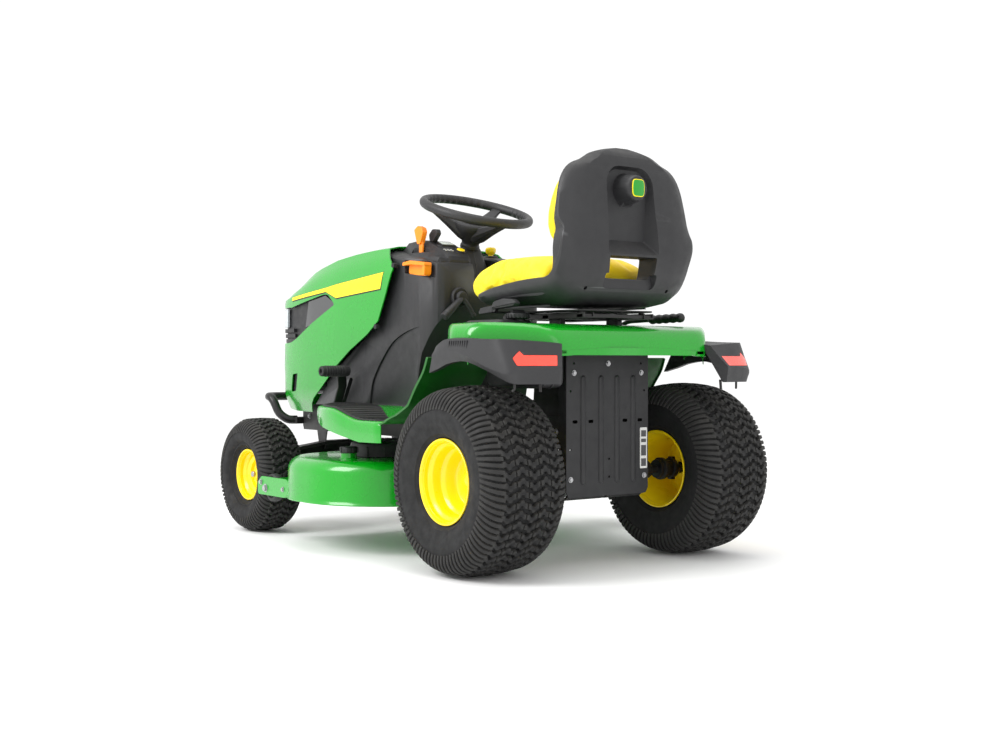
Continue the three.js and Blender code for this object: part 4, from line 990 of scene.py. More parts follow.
def footrests():
    """Footrests with ribbed rubber mats."""
    for side, s in SIDES.items():
        piece(f"footrest_shape_{side}", footrest_form(s), GREEN, "chassis", (f"footrest_{side}",),
              bevel=1.0, shell=3.5, angle=40)
        rings = []
        for k in range(41):
            y = -918 + (918 - 322) * k / 40
            inner, outer = mat_bounds(y)
            nip = 10 * max(0.0, 1 - k / 3) + 10 * max(0.0, (k - 37) / 3)
            inner, outer, z = inner + nip, max(outer - nip, inner + nip + 4), rest_height(y)
            rings.append([(inner, y, z - 1), (inner, y, z + 2.5), (inner + 2, y, z + 4),
                          (outer - 2, y, z + 4), (outer, y, z + 2.5), (outer, y, z - 1)])
        piece(f"foot_mat_{side}", mirrored(loft(rings), s), RUBBER, "chassis", bevel=0.5)
        ribs = []
        for k in range(25):
            y = -905 + 23 * k
            inner, outer = mat_bounds(y)
            rings = []
            for v, rise in ((0, 3), (1, 6), (6, 6), (7, 3)):
                z = rest_height(y + v) + rise
                rings.append([(inner + 9, y + v, z - 4), (inner + 9, y + v, z),
                              (outer - 9, y + v, z), (outer - 9, y + v, z - 4)])
            ribs.append(loft(rings))
        piece(f"foot_mat_ribs_{side}", mirrored(join(*ribs), s), RUBBER, "chassis", bevel=0)


footrests()


# ---------------------------------------------------------------- seat
# Each station of the bucket: the outer face, the inner face and the wing's edge as (y, z), the half
# width, and how far the lower corner is cut back.
BUCKET = [((-264, 751), (-258, 756), (-261, 757), 150, 18), ((-250, 740), (-238, 752), (-246, 760),
                                                             192, 26),
          ((-212, 732), (-204, 750), (-212, 766), 222, 36), ((-120, 726), (-120, 750), (-117, 781),
                                                             236, 44),
          ((0, 724), (0, 750), (0, 793), 240, 46), ((76, 724), (70, 750), (80, 797), 240, 46),
          ((124, 731), (96, 756), (108, 798), 239, 46), ((158, 751), (112, 774), (130, 808), 238,
                                                         46),
          ((182, 784), (122, 806), (149, 834), 238, 46), ((196, 824), (127, 840), (165, 860), 239,
                                                          46),
          ((202, 868), (129, 876), (176, 888), 241, 46), ((200, 905), (130, 905), (179, 912), 238,
                                                          46),
          ((198, 926), (130, 926), (174, 930), 232, 44), ((194, 958), (130, 954), (152, 958), 237,
                                                          44),
          ((189, 1002), (130, 1000), (146, 1000), 231, 42), ((185, 1050), (131, 1050), (142, 1050),
                                                             219, 40),
          ((181, 1086), (132, 1084), (140, 1084), 201, 38), ((177, 1108), (134, 1104), (139, 1104),
                                                             178, 36),
          ((174, 1120), (135, 1114), (139, 1115), 150, 32), ((170, 1131), (136, 1124), (139, 1125),
                                                             132, 30),
          ((164, 1142), (137, 1134), (140, 1136), 112, 28), ((156, 1151), (138, 1144), (142, 1147),
                                                             76, 22),
          ((150, 1157), (140, 1152), (144, 1154), 36, 12)]


def bucket_form():
    tracks = [[station[k] for station in BUCKET] for k in range(3)]
    outers, inners, edges = (spline(track, 3) for track in tracks)
    widths = spline([(station[3], station[4]) for station in BUCKET], 3)
    rings = []
    for outer, inner, edge, (half, corner) in zip(outers, inners, edges, widths):
        o, i, e = Vector(outer), Vector(inner), Vector(edge)
        rise = e - o
        panel = min(150, half - corner * 1.3)
        side = [(panel, o), (half - corner, o + rise * 0.12),
                (half - corner * 0.35, o + rise * 0.38),
                (half - 1.5, o + rise * 0.7), (half, o + rise * 0.86), (half - 1.5, e),
                (half - 7, e), (half - 9, i + (e - i) * 0.5), (half - 14, i)]
        ring = [(x, p.x, p.y) for x, p in side] + [(-x, p.x, p.y) for x, p in reversed(side)]
        rings.append(ring)
    return loft(rings)


def seat_back_cuts():
    """The recess with its sloping ledge, the opening below it, and the two fixing holes."""
    deep = rounded([(-70, 902), (70, 902), (76, 1066), (48, 1096), (-48, 1096), (-76, 1066)],
                   [6, 6, 34, 30, 30, 34], 6)
    wide = rounded([(-92, 862), (92, 862), (94, 1078), (62, 1118), (-62, 1118), (-94, 1078)],
                   [6, 6, 34, 30, 30, 34], 6)
    recess = loft([[(u, 164, v) for u, v in deep],
                   [(u + (w - u) * 1.7, 230, v + (q - v) * 1.7) for (u, v),
                    (w, q) in zip(deep, wide)]])
    opening = prism("y", rounded([(-82, 797), (82, 797), (86, 857), (-86, 857)], [12, 12, 5, 5], 5),
                    60, 300)
    scoop = rounded([(-104, 766), (104, 766), (98, 812), (-98, 812)], [26, 26, 8, 8], 6)
    apron = loft([[(u * 0.9, 171, 790 + (v - 790) * 0.86) for u, v in scoop],
                  [(u, 215, v) for u, v in scoop]])
    holes = [lathe([(0, -30), (5, -30), (5, 60), (0, 60)], "y", (s * 149, 165, 768), 20)
             for s in SIDES.values()]
    return [recess, opening, apron, *holes]


def seat_shell():
    piece("seat_bucket", bucket_form(), CHARCOAL, "seat", ("seat_shell",),
          bevel=2.0, angle=30, cuts=seat_back_cuts())
    profile = [(0, 160), (46, 160), (41, 182), (36, 206), (34, 214), (31, 217), (0, 217)]
    boss = moved(lathe(profile, "y", (0, 0, 0), 48), Matrix.Translation((0, 0, 1042)))
    web = prism("x", rounded([(160, 992), (196, 1016), (206, 1030), (160, 1052)], 6), -20, 20)
    piece("seat_boss", join(boss, web), CHARCOAL, "seat", bevel=1.5)
    shape = rounded([(-20, 1018), (20, 1018), (23, 1042), (20, 1066), (-20, 1066), (-23, 1042)],
                    [12, 12, 20, 12, 12, 20], 6)
    piece("seat_badge_rim", pillow("y", shape, 214, 219, 1), YELLOW_TRIM, "seat", bevel=0)
    piece("seat_badge", pillow("y", inset(shape, 2.2), 215, 220, 1), GREEN, "seat", bevel=0)
    ribs = [prism("x", rounded([(-150, 722), (60, 722), (52, 727), (-150, 727)], 1), x - 2, x + 2)
            for x in (-176, -150, 150, 176)]
    piece("seat_pan_ribs", join(*ribs), CHARCOAL, "seat", bevel=0.6)


def seat_pad_form():
    """Crowned seat pad: high at the back, rolled over at the front, thin at the sides."""
    rings = []
    levels = [(-317, 120, 790, 806), (-308, 172, 772, 822), (-290, 200, 760, 836),
              (-262, 213, 755, 846), (-220, 218, 754, 853), (-160, 220, 754, 857),
              (-100, 220, 754, 859), (-40, 220, 754, 860), (10, 219, 754, 857),
              (44, 214, 755, 850), (62, 204, 760, 838), (70, 180, 774, 818)]
    for y, half, low, high in levels:
        mid = low + 0.42 * (high - low)
        crown = [(0, high), (0.3, high - 1), (0.55, high - 3), (0.74, high - 8), (0.88, high - 19),
                 (0.965, mid + 0.35 * (high - mid)), (1.0, mid), (0.985, low + 0.4 * (mid - low)),
                 (0.93, low), (0.5, low), (0, low)]
        right = [(u * half, y, z) for u, z in crown]
        rings.append(right + [(-x, q, z) for x, q, z in reversed(right[1:-1])])
    return loft(rings)


def back_pad_form():
    rings = []
    levels = [(874, 120, 100), (880, 168, 86), (892, 196, 76), (912, 212, 67), (940, 219, 62),
              (975, 218, 62), (1010, 212, 67), (1045, 202, 75), (1078, 185, 85), (1102, 162, 94),
              (1117, 132, 103), (1126, 92, 112)]
    for z, half, front in levels:
        mid = front + 0.5 * (127 - front)
        crown = [(0, front), (0.35, front + 1), (0.62, front + 4), (0.82, front + 10),
                 (0.94, front + 0.55 * (mid - front)), (1.0, mid), (0.985, mid + 0.5 * (127 - mid)),
                 (0.94, 127), (0.5, 127), (0, 127)]
        right = [(u * half, y, z) for u, y in crown]
        rings.append(right + [(-x, y, q) for x, y, q in reversed(right[1:-1])])
    return loft(rings)


def cushion(name, form, node, keep, cap=0.024, pressure=4.0):
    """Padded form. Cloth blown up by pressure rounds it; keep() holds a point off its neighbours."""
    obj = bpy.data.objects.new(name, mesh_of(name, form))
    scene.collection.objects.link(obj)
    grid = obj.modifiers.new("grid", "REMESH")
    grid.mode, grid.voxel_size = "VOXEL", 0.0055
    apply_modifiers(obj)
    start = [v.co.copy() for v in obj.data.vertices]
    puff = obj.modifiers.new("puff", "CLOTH")
    settings = puff.settings
    settings.use_pressure = True
    settings.uniform_pressure_force = pressure
    settings.effector_weights.gravity = 0.0
    settings.quality = 6
    settings.tension_stiffness = settings.compression_stiffness = 40.0
    puff.point_cache.frame_end = 20
    for step in range(1, 21):
        scene.frame_set(step)
    apply_modifiers(obj)
    scene.frame_set(1)
    for vertex, home in zip(obj.data.vertices, start):
        shift = vertex.co - home
        if shift.length > cap:
            shift *= cap / shift.length
        vertex.co = TO_ROW @ keep(TO_ROW.inverted() @ (home + shift))
    soften = obj.modifiers.new("soften", "SMOOTH")
    soften.factor, soften.iterations = 0.5, 6
    fine = obj.modifiers.new("fine", "SUBSURF")
    fine.levels = fine.render_levels = 1
    apply_modifiers(obj)
    obj.data.shade_smooth()
    obj.data.materials.clear()
    obj.data.materials.append(VINYL)
    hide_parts(node)
    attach(obj, "seat")
    return obj


def hold_seat_pad(p):
    """Keeps the pad on the pan, between the wings and in front of the back."""
    wing = 224 if p.z < 800 else 230
    back = table([(756, 96), (776, 108), (806, 116), (862, 122)], p.z)
    return Vector((max(-wing, min(wing, p.x)), min(max(p.y, -324), back - 3),
                   min(max(p.z, 753), 866)))


def hold_back_pad(p):
    return Vector((max(-229, min(229, p.x)), min(max(p.y, 52), 128), min(max(p.z, 869), 1134)))


def seat():
    seat_shell()
    cushion("seat_pad", seat_pad_form(), "seat_cushion", hold_seat_pad)
    cushion("backrest_pad", back_pad_form(), "back_cushion", hold_back_pad)
    plate = rounded([(-150, -214), (150, -214), (150, 100), (126, 142), (-126, 142), (-150, 100)],
                    [14, 14, 30, 14, 14, 30], 5)
    slots = [prism("z", rectangle(s * 60, s * 100, y, y + 26, 8),
                   680, 730) for s in SIDES.values() for y in (-150, -60, 40)]
    piece("seat_base_plate", prism("z", plate, 709, 713), BLACK, "seat_base",
                ("seat_bracket",), bevel=1.0, cuts=slots)
    forms = []
    for s in SIDES.values():
        channel = [(s * 92, 690), (s * 128, 690), (s * 128, 705), (s * 124, 705), (s * 124, 694),
                   (s * 96, 694), (s * 96, 705), (s * 92, 705)]
        forms.append(prism("y", channel, -222, 142))
        forms.append(prism("x", rounded([(-28, 629), (28, 629), (24, 692), (-24, 692)], 4),
                           s * 97, s * 115))
        ear = rounded([(-226, 690), (-190, 690), (-196, 716), (-204, 722), (-214, 722),
                       (-222, 716)],
                      4)
        forms.append(prism("x", ear, s * 100, s * 106))
        forms.append(lathe([(0, -9), (7, -9), (7, 12), (4, 14), (0, 14)], "x",
                           (s * 104, -208, 712), 16, s))
        for y in (-170, 110):
            forms.append(lathe([(0, 702), (8, 702), (8, 710), (0, 710)], "z", (s * 110, y, 0), 12))
    forms += [prism("z", rectangle(-128, 128, y, y + 30, 3), 691, 701)
              for y in (-200, -40, 108)]
    piece("seat_rails", join(*forms), BLACK, "seat_base", bevel=0.8)
    for side, s in SIDES.items():
        turns = [(s * 76 + 15 * math.cos(t), 66 + 15 * math.sin(t), 694 + t * 0.46)
                 for t in (math.pi / 8 * k for k in range(0, 65))]
        piece(f"seat_spring_{side}", sweep(turns, 2.6, 8), STEEL, "seat_base", bevel=0)
    arm = prism("z", rounded([(152, -172), (254, -172), (258, -100), (244, -146), (152, -148)], 5),
                709, 714)
    block = rounded([(-106, 716), (0, 722), (8, 732), (-6, 742), (-52, 746), (-96, 738)],
                    [8, 5, 5, 6, 10, 8], 5)
    tongue = prism("x", rounded([(-168, 706), (-90, 710), (-84, 730), (-160, 722)], 5), 246, 256)
    grip = pillow("x", block, 243, 261, 5)
    piece("seat_lever", join(arm, grip, tongue), BLACK_PLASTIC, "seat_adjuster",
          ("seat_adjust_lever",), bevel=1.5)


seat()


# ---------------------------------------------------------------- steering wheel and column
COLUMN = turn_at((0, -532, 1046), -18.5, "X")
RIM_R = 168


def steering_rim():
    """Rim whose inner side is scalloped for the fingers."""
    around, across = 240, 20
    rings = []
    for k in range(around):
        a = 2 * math.pi * k / around
        grip = 0.5 + 0.5 * math.cos(42 * a)
        clear = min(abs((math.degrees(a) - spoke + 180) % 360 - 180) for spoke in (90, 210, 330))
        depth = 2.6 * ease((clear - 14) / 6) * grip
        ring = []
        for j in range(across):
            b = 2 * math.pi * j / across
            inner = max(0.0, -math.cos(b)) ** 1.5
            r = 14.0 - depth * inner
            flat = r * math.cos(b), r * 1.06 * math.sin(b)
            ring.append(((RIM_R + flat[0]) * math.cos(a), (RIM_R + flat[0]) * math.sin(a), flat[1]))
        rings.append(ring)
    return loft(rings, loop=True)


def spoke(degrees):
    """Deep spoke, wide and low at the hub and flush with the rim at its end."""
    a = math.radians(degrees)
    c, s = math.cos(a), math.sin(a)
    stations = [(30, 30, -96, -50), (46, 30, -88, -46), (66, 27, -74, -38), (92, 22, -56, -28),
                (120, 18.5, -38, -17), (144, 17, -23, -8), (160, 18, -13, -1)]
    rings = []
    for r, w, low, high in stations:
        sag = 0.35 * (high - low)
        section = [(-w, high - 3), (-w * 0.8, high), (w * 0.8, high), (w, high - 3),
                   (w * 0.96, low + sag), (w * 0.6, low), (-w * 0.6, low), (-w * 0.96, low + sag)]
        rings.append([(c * r - s * u, s * r + c * u, v) for u, v in section])
    return loft(rings)


def steering_wheel():
    piece("steering_rim", moved(steering_rim(), COLUMN), CHARCOAL, "steering",
          ("steering_wheel",), bevel=0)
    for k, degrees in enumerate((90, 210, 330)):
        piece(f"steering_spoke_{k}", moved(spoke(degrees), COLUMN), CHARCOAL, "steering", bevel=2.5)
    bowl = [(0, -112), (22, -112), (27, -108), (30, -96), (44, -80), (58, -64), (67, -50),
            (68, -42),
            (64, -37), (52, -36), (0, -36)]
    piece("steering_hub", moved(lathe(bowl, "z", (0, 0, 0), 64), COLUMN), CHARCOAL, "steering",
          bevel=1.2)
    cap = [(0, -38), (46, -38), (47, -33), (44, -28), (30, -24), (0, -22)]
    piece("steering_cap", moved(lathe(cap, "z", (0, 0, 0), 48), COLUMN), BLACK_PLASTIC, "steering",
          ("steering_shaft",), bevel=0.8)
    teeth = [(24 + 3 * (k % 2)) for k in range(32)]
    gear = prism("z", [(r * math.cos(math.pi * k / 16), r * math.sin(math.pi * k / 16))
                       for k, r in enumerate(teeth)], -574, -550)
    shaft = lathe([(0, -560), (9.5, -560), (9.5, -220), (12, -218), (12, -206), (9.5, -204),
                   (9.5, -46), (0, -46)], "z", (0, 0, 0), 24)
    piece("steering_column_shaft", moved(join(shaft, gear), COLUMN), STEEL, "steering", bevel=0.6)
    collar = [(12, -120), (31, -120), (31, -110), (27, -104), (12, -104)]
    piece("steering_collar", moved(lathe(collar, "z", (0, 0, 0), 40), COLUMN), BLACK_PLASTIC,
          "steering", bevel=0.8)


def column_cover():
    """Boot round the column, in two halves with a raised seam at the back."""
    levels = [(806, 64, -700, -519), (822, 62, -694, -521), (870, 52, -660, -534),
              (905, 44, -632, -545), (926, 39, -614, -550), (933, 37, -610, -553)]
    rings = []
    for z, half, front, back in levels:
        ring = rounded([(-half, front), (half, front), (half, back), (-half, back)],
                       [14, 14, 22, 22], 5)
        rings.append([(x, y, z) for x, y in ring])
    tunnel = moved(lathe([(0, -230), (14, -230), (14, 60), (0, 60)], "z", (0, 0, 0), 24), COLUMN)
    piece("column_boot", loft(rings), CHARCOAL, "chassis", ("column_cover",),
          bevel=2.0, cuts=[tunnel])
    seam = [(0, -519.5, 812), (0, -534.5, 870), (0, -545.5, 905), (0, -551, 928)]
    piece("column_seam", sweep(spline(seam, 4), 1.8, 8), CHARCOAL, "chassis", bevel=0)


steering_wheel()
column_cover()


# ---------------------------------------------------------------- dash
DASH_HALF = 222
DASH_SIDE = [(-1175, 426), (-562, 426), (-522, 598), (-460, 700), (-453, 762), (-452, 846),
             (-462, 872),
             (-540, 892), (-640, 908), (-716, 926), (-664, 866), (-764, 690), (-1040, 545)]
DASH_DROP = [0, 0, 0, 0, 0, 8, 12, 15, 18, 20, 0, 0, 0]
LEVER_X = {"throttle": 165, "choke": 125}


def dash_body():
    """Dash with its wheel recesses, latch pocket and inner well."""
    rings = []
    for x, fall in ((-DASH_HALF, 1.0), (-212, 0.55), (-190, 0.2), (-150, 0.0), (150, 0.0),
                    (190, 0.2), (212, 0.55), (DASH_HALF, 1.0)):
        rings.append([(x, y, z - drop * fall) for (y, z), drop in zip(DASH_SIDE, DASH_DROP)])
    arch = [(-830, 400), (-814, 432), (-806, 474), (-788, 520), (-733, 584), (-662, 640),
            (-548, 676), (-400, 692)]
    inside = spline(arch, 5) + [(-300, 692), (-300, 400)]
    crease = [(-1200, 400), (-862, 400), (-855, 448), (-848, 545), (-834, 606), (-834, 640),
              (-1200, 640)]
    pocket = rounded([(-606, 846), (-470, 826), (-466, 874), (-604, 886)], 6)
    slot = rounded([(-1003, 425), (-945, 522), (-925, 515), (-980, 425)], [2, 9, 9, 2], 5)
    cuts = []
    for s in SIDES.values():
        cuts.append(prism("x", inside, s * (DASH_HALF - 7), s * 300))
        cuts.append(prism("x", rounded(crease, [0, 20, 20, 20, 20, 20, 0]), s * (DASH_HALF - 5),
                          s * 300))
        cuts.append(prism("x", slot, s * (DASH_HALF - 30), s * 300))
    cuts.append(prism("x", pocket, DASH_HALF - 26, 300))
    cuts.append(prism("z", rectangle(-66, 66, -720, -440, 12), 804,
                      1000))
    plan = rounded([(-DASH_HALF, -1200), (DASH_HALF, -1200), (DASH_HALF, -560), (198, -452),
                    (-198, -452), (-DASH_HALF, -560)], [0, 0, 60, 70, 70, 60], 7)
    body = piece("dash_body", loft(rings), CHARCOAL, "chassis", ("dash_pedestal",), bevel=0,
                 angle=26, cuts=cuts)
    carve(body, [prism("z", plan, 300, 1000)], "INTERSECT")
    body.data.set_sharp_from_angle(angle=math.radians(26))
    edge = body.modifiers.new("edge", "BEVEL")
    edge.width, edge.segments, edge.harden_normals = 4.0 * MM, 3, True
    edge.limit_method, edge.angle_limit = "ANGLE", math.radians(26)
    apply_modifiers(body)
    well = [(-1300, 380), (-575, 380), (-535, 590), (-472, 700), (-466, 762), (-466, 840),
            (-545, 868), (-640, 880), (-700, 884), (-1300, 884)]
    carve(body, [prism("x", well, -172, 172)])
    body.data.shade_smooth()
    body.data.set_sharp_from_angle(angle=math.radians(40))
    body.data.materials.clear()
    body.data.materials.append(CHARCOAL)
    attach(body, "chassis")


def console():
    """Raised pod left of the column. It carries the display and the engine levers."""
    stations = [(-724, 926, 0.84), (-716, 940, 0.93), (-700, 951, 1.0), (-640, 955, 1.0),
                (-596, 951, 1.0), (-540, 930, 1.0), (-500, 912, 0.98), (-480, 896, 0.9),
                (-474, 884, 0.8)]
    rings = []
    for y, top, wide in stations:
        section = [(54, 872), (54, top - 8), (58, top - 2), (66, top), (134, top), (144, top - 2),
                   (150, top - 9), (182, min(top - 6, 894)), (190, min(top - 10, 880)), (190, 872)]
        rings.append([(122 + (x - 122) * wide, y, z) for x, z in section])
    cuts = [prism("z", rectangle(x - 5, x + 5, -646, -554, 4),
                  860, 1000) for x in LEVER_X.values()]
    piece("console", loft(rings), BLACK_PLASTIC, "chassis", ("dash_top",),
          bevel=3.0, angle=22, cuts=cuts)
    slope = turn_at((96, -563, 940), -20.5, "X")
    frame_shape = rectangle(-27, 27, -22, 22, 5)
    window = rectangle(-21, 21, -15, 15, 3)
    piece("display_frame", moved(pillow("z", frame_shape, -3, 2.5, 1.2), slope), BLACK, "chassis",
          bevel=0.4)
    piece("display", moved(pillow("z", window, -1, 3.4, 0.6), slope), DISPLAY, "chassis", bevel=0)
    button = turn_at((78, -508, 916), -24, "X")
    knob = lathe([(0, -4), (13, -4), (13, 3), (11, 5.5), (6, 6.2), (0, 6.2)], "z", (0, 0, 0), 28)
    piece("reverse_button", moved(knob, button), YELLOW, "chassis", bevel=0.4)
    ring = lathe([(13.6, -4), (17, -4), (17, 1.5), (15.5, 2.5), (13.6, 2.5)], "z", (0, 0, 0), 28)
    marks = [moved(prism("z", rectangle(-4, 4, -2, 2, 1), 0, 1.2),
                   Matrix.Translation((u, v, 0))) for u in (34, 46, 58) for v in (-4, 6)]
    piece("button_ring", moved(ring, button), BLACK, "chassis", bevel=0.4)
    piece("console_marks", moved(join(*marks), button), STICKER, "chassis", bevel=0)
    right = []
    for y, top in ((-712, 905), (-700, 912), (-600, 908), (-520, 896), (-486, 880)):
        section = [(-60, 872), (-60, top - 6), (-68, top), (-150, top), (-160, top - 6),
                   (-176, 872)]
        right.append([(x, y, z) for x, z in section])
    piece("console_right", loft(right), BLACK_PLASTIC, "chassis", bevel=3.0, angle=22)
    collar = lathe([(0, 898), (24, 898), (24, 911), (21, 914), (0, 914)], "z", (-114, -611, 0), 32)
    piece("blade_switch_collar", collar, BLACK_PLASTIC, "chassis", bevel=0.8)
    knob = [(0, 905), (8, 905), (8, 918), (15, 924), (17.5, 930), (17.5, 937), (14, 942), (0, 944)]
    piece("blade_switch_knob", lathe(knob, "z", (-114, -611, 0), 32), YELLOW, "blade_switch",
          ("pto_knob",), bevel=0.8)


def hand_lever(x, stem, head, wide):
    """Stem that comes up through its slot, and the wider finger grip at its end."""
    return join(prism("x", rounded(stem, 4), x - 3.5, x + 3.5),
                prism("x", rounded(head, 5), x - wide, x + wide))


def hand_controls():
    """Throttle, choke, park brake latch and ignition key."""
    x = LEVER_X["throttle"]
    stem = [(-606, 872), (-592, 872), (-586, 930), (-590, 968), (-610, 968), (-606, 930)]
    head = [(-609, 938), (-592, 938), (-576, 974), (-582, 988), (-604, 996), (-626, 984)]
    piece("throttle_grip", hand_lever(x, stem, head, 9), ORANGE, "throttle", ("throttle_lever",),
          bevel=1.6)
    x = LEVER_X["choke"]
    stem = [(-606, 872), (-592, 872), (-584, 930), (-576, 960), (-594, 966), (-604, 930)]
    head = [(-598, 944), (-582, 944), (-556, 970), (-562, 984), (-584, 986), (-604, 970)]
    piece("choke_grip", hand_lever(x, stem, head, 8), BLACK_PLASTIC, "choke", ("choke_lever",),
          bevel=1.6)
    top = [(-602, 868), (-600, 878), (-560, 882), (-480, 872), (-478, 862), (-560, 870)]
    lip = [(-590, 846), (-580, 840), (-492, 832), (-484, 838), (-482, 864), (-560, 872),
           (-588, 872)]
    latch = join(prism("x", rounded(top, 3), 206, 233),
                 prism("x", rounded(lip, 5), 204, 216),
                 prism("x", rounded([(-498, 834), (-484, 834), (-480, 870), (-494, 872)], 3), 206,
                       230))
    piece("park_latch", latch, ORANGE, "park_brake", ("park_brake_latch",),
          bevel=1.4)
    low, high = local("ignition_key")
    centre = (low + high) / 2
    lock = lathe([(0, -456), (17, -456), (17, -448), (13, -445), (0, -445)], "y",
                 (centre.x, 0, centre.z), 28)
    piece("ignition_lock", lock, STEEL, "chassis", bevel=0.6)
    bow = rounded([(-11, -14), (11, -14), (11, 8), (5, 14), (-5, 14), (-11, 8)], 5)
    key = [prism("x", [(-445, centre.z - 3), (-434, centre.z - 3), (-434, centre.z + 3),
                       (-445, centre.z + 3)], centre.x - 1.2, centre.x + 1.2),
           moved(prism("x", bow, -2.4, 2.4), Matrix.Translation((centre.x, -424, centre.z)))]
    piece("ignition_key_blade", join(*key), BLACK_PLASTIC, "ignition", ("ignition_key",),
          bevel=0.6)


def cruise_lever():
    """Two-armed lever in its round bezel."""
    x, y, z = 122, -452, 768
    boss = lathe([(0, -2), (31, -2), (31, 5), (27, 9), (22, 8), (0, 8)], "y", (x, y, z), 40)
    piece("cruise_bezel", boss, CHARCOAL, "chassis", bevel=1.0)
    hub = lathe([(0, 8.6), (19, 8.6), (19, 16), (15, 21), (0, 23)], "y", (x, y, z), 32)
    path = [(x + 4, y + 14, z - 6), (x + 22, y + 20, z - 18), (x + 44, y + 24, z - 36),
            (x + 62, y + 24, z - 52)]
    long_arm = sweep(spline(path, 4), lambda t: 9.5 + 3 * ease(t), 16)
    path = [(x - 4, y + 14, z - 6), (x - 18, y + 20, z - 26), (x - 32, y + 24, z - 50)]
    short_arm = sweep(spline(path, 4), lambda t: 8.5 - 1.5 * t, 16)
    end = Vector((x + 62, y + 24, z - 52))
    grip = sweep([end, end + Vector((13, 1, -11))], 13, 20)
    piece("cruise_arms", join(hub, long_arm, short_arm), CHARCOAL, "cruise_control",
          ("cruise_lever",), bevel=0.8)
    piece("cruise_grip", grip, BLACK_PLASTIC, "cruise_control", bevel=2.5)
    end = Vector((x - 32, y + 24, z - 50))
    tip = sweep([end, end + Vector((-5, 1, -9))], 8.5, 16)
    piece("cruise_tip", tip, BLACK, "cruise_control", bevel=1.5)


def pedals():
    """Brake pedal on the left, travel pedals on the right."""
    path = spline([(240, -1005, 374), (240, -994, 420), (241, -972, 462), (246, -948, 492),
                   (258, -930, 520), (268, -914, 538)], 4)
    arm = sweep(path, 1.0, section=rectangle(-5, 5, -16, 16, 4),
                up=(1, 0, 0))
    boss = lathe([(0, 226), (15, 226), (15, 252), (0, 252)], "x", (0, -1005, 374), 32)
    piece("brake_arm", join(arm, boss), BLACK, "brake_pedal", ("brake_pedal",),
          bevel=0.8)
    rings = [(0, 244), (15, 244), (17, 247), (17, 258)]
    for k in range(8):
        x = 260 + 9.4 * k
        rings += [(17, x), (18.4, x + 1.6), (18.4, x + 5.4), (17, x + 7)]
    rings += [(17, 338), (17, 344), (15, 347), (8, 347), (7, 336), (0, 336)]
    tilt = Matrix.Translation((0, -910, 541))
    piece("brake_pad", moved(lathe(rings, "x", (0, 0, 0), 32), tilt), RUBBER, "brake_pedal",
          bevel=0.4)
    for name, x, y in (("forward", -290, -900), ("reverse", -375, -800)):
        plan = rounded([(x - 34, y - 46), (x + 34, y - 46), (x + 38, y + 30), (x + 22, y + 42),
                        (x - 26, y + 42), (x - 38, y + 20)], 12)
        tilt = (turn_at((x, y, 506), -14, "X")
                @ Matrix.Translation((-x, -y, 0)))
        ribs = [pillow("z", rectangle(x - 28, x + 28, y + v, y + v + 6, 2.5), 4, 8.5, 1.2)
                for v in range(-38, 34, 12)]
        pad = moved(join(pillow("z", plan, -5, 5, 2), *ribs), tilt)
        rod = sweep(spline([(-228, y, 460), (x + 60 if x > -300 else -300, y, 462),
                            (x + 10, y, 478), (x, y, 500)], 4), 7.5, 14)
        boss = lathe([(0, -224), (16, -224), (16, -240), (12, -243), (0, -243)], "x", (0, y, 460),
                     24)
        piece(f"{name}_pad", pad, RUBBER, f"{name}_pedal", (f"{name}_pedal",), bevel=0.8)
        piece(f"{name}_arm", join(rod, boss), BLACK, f"{name}_pedal", bevel=0.6)


dash_body()
console()
hand_controls()
cruise_lever()
pedals()


# ---------------------------------------------------------------- rear plate, frame and bumper
def bolt(centre, axis, radius=7, flip=1):
    """Hexagon head on a washer."""
    head = [place(axis, radius * math.cos(math.pi * k / 3), radius * math.sin(math.pi * k / 3), h)
            for h in (1.4, 1.4 + 0.62 * radius) for k in range(6)]
    washer = lathe([(0, 0), (radius * 1.35, 0), (radius * 1.35, 1.4), (0, 1.4)], axis, (0, 0, 0),
                   20)
    hexagon = loft([head[:6], head[6:]])
    form = join(washer, hexagon)
    axis_flip = {"x": (flip, 1, 1, 1), "y": (1, flip, 1, 1), "z": (1, 1, flip, 1)}[axis]
    form = moved(form, Matrix.Diagonal(axis_flip))
    return moved(form, Matrix.Translation(centre))


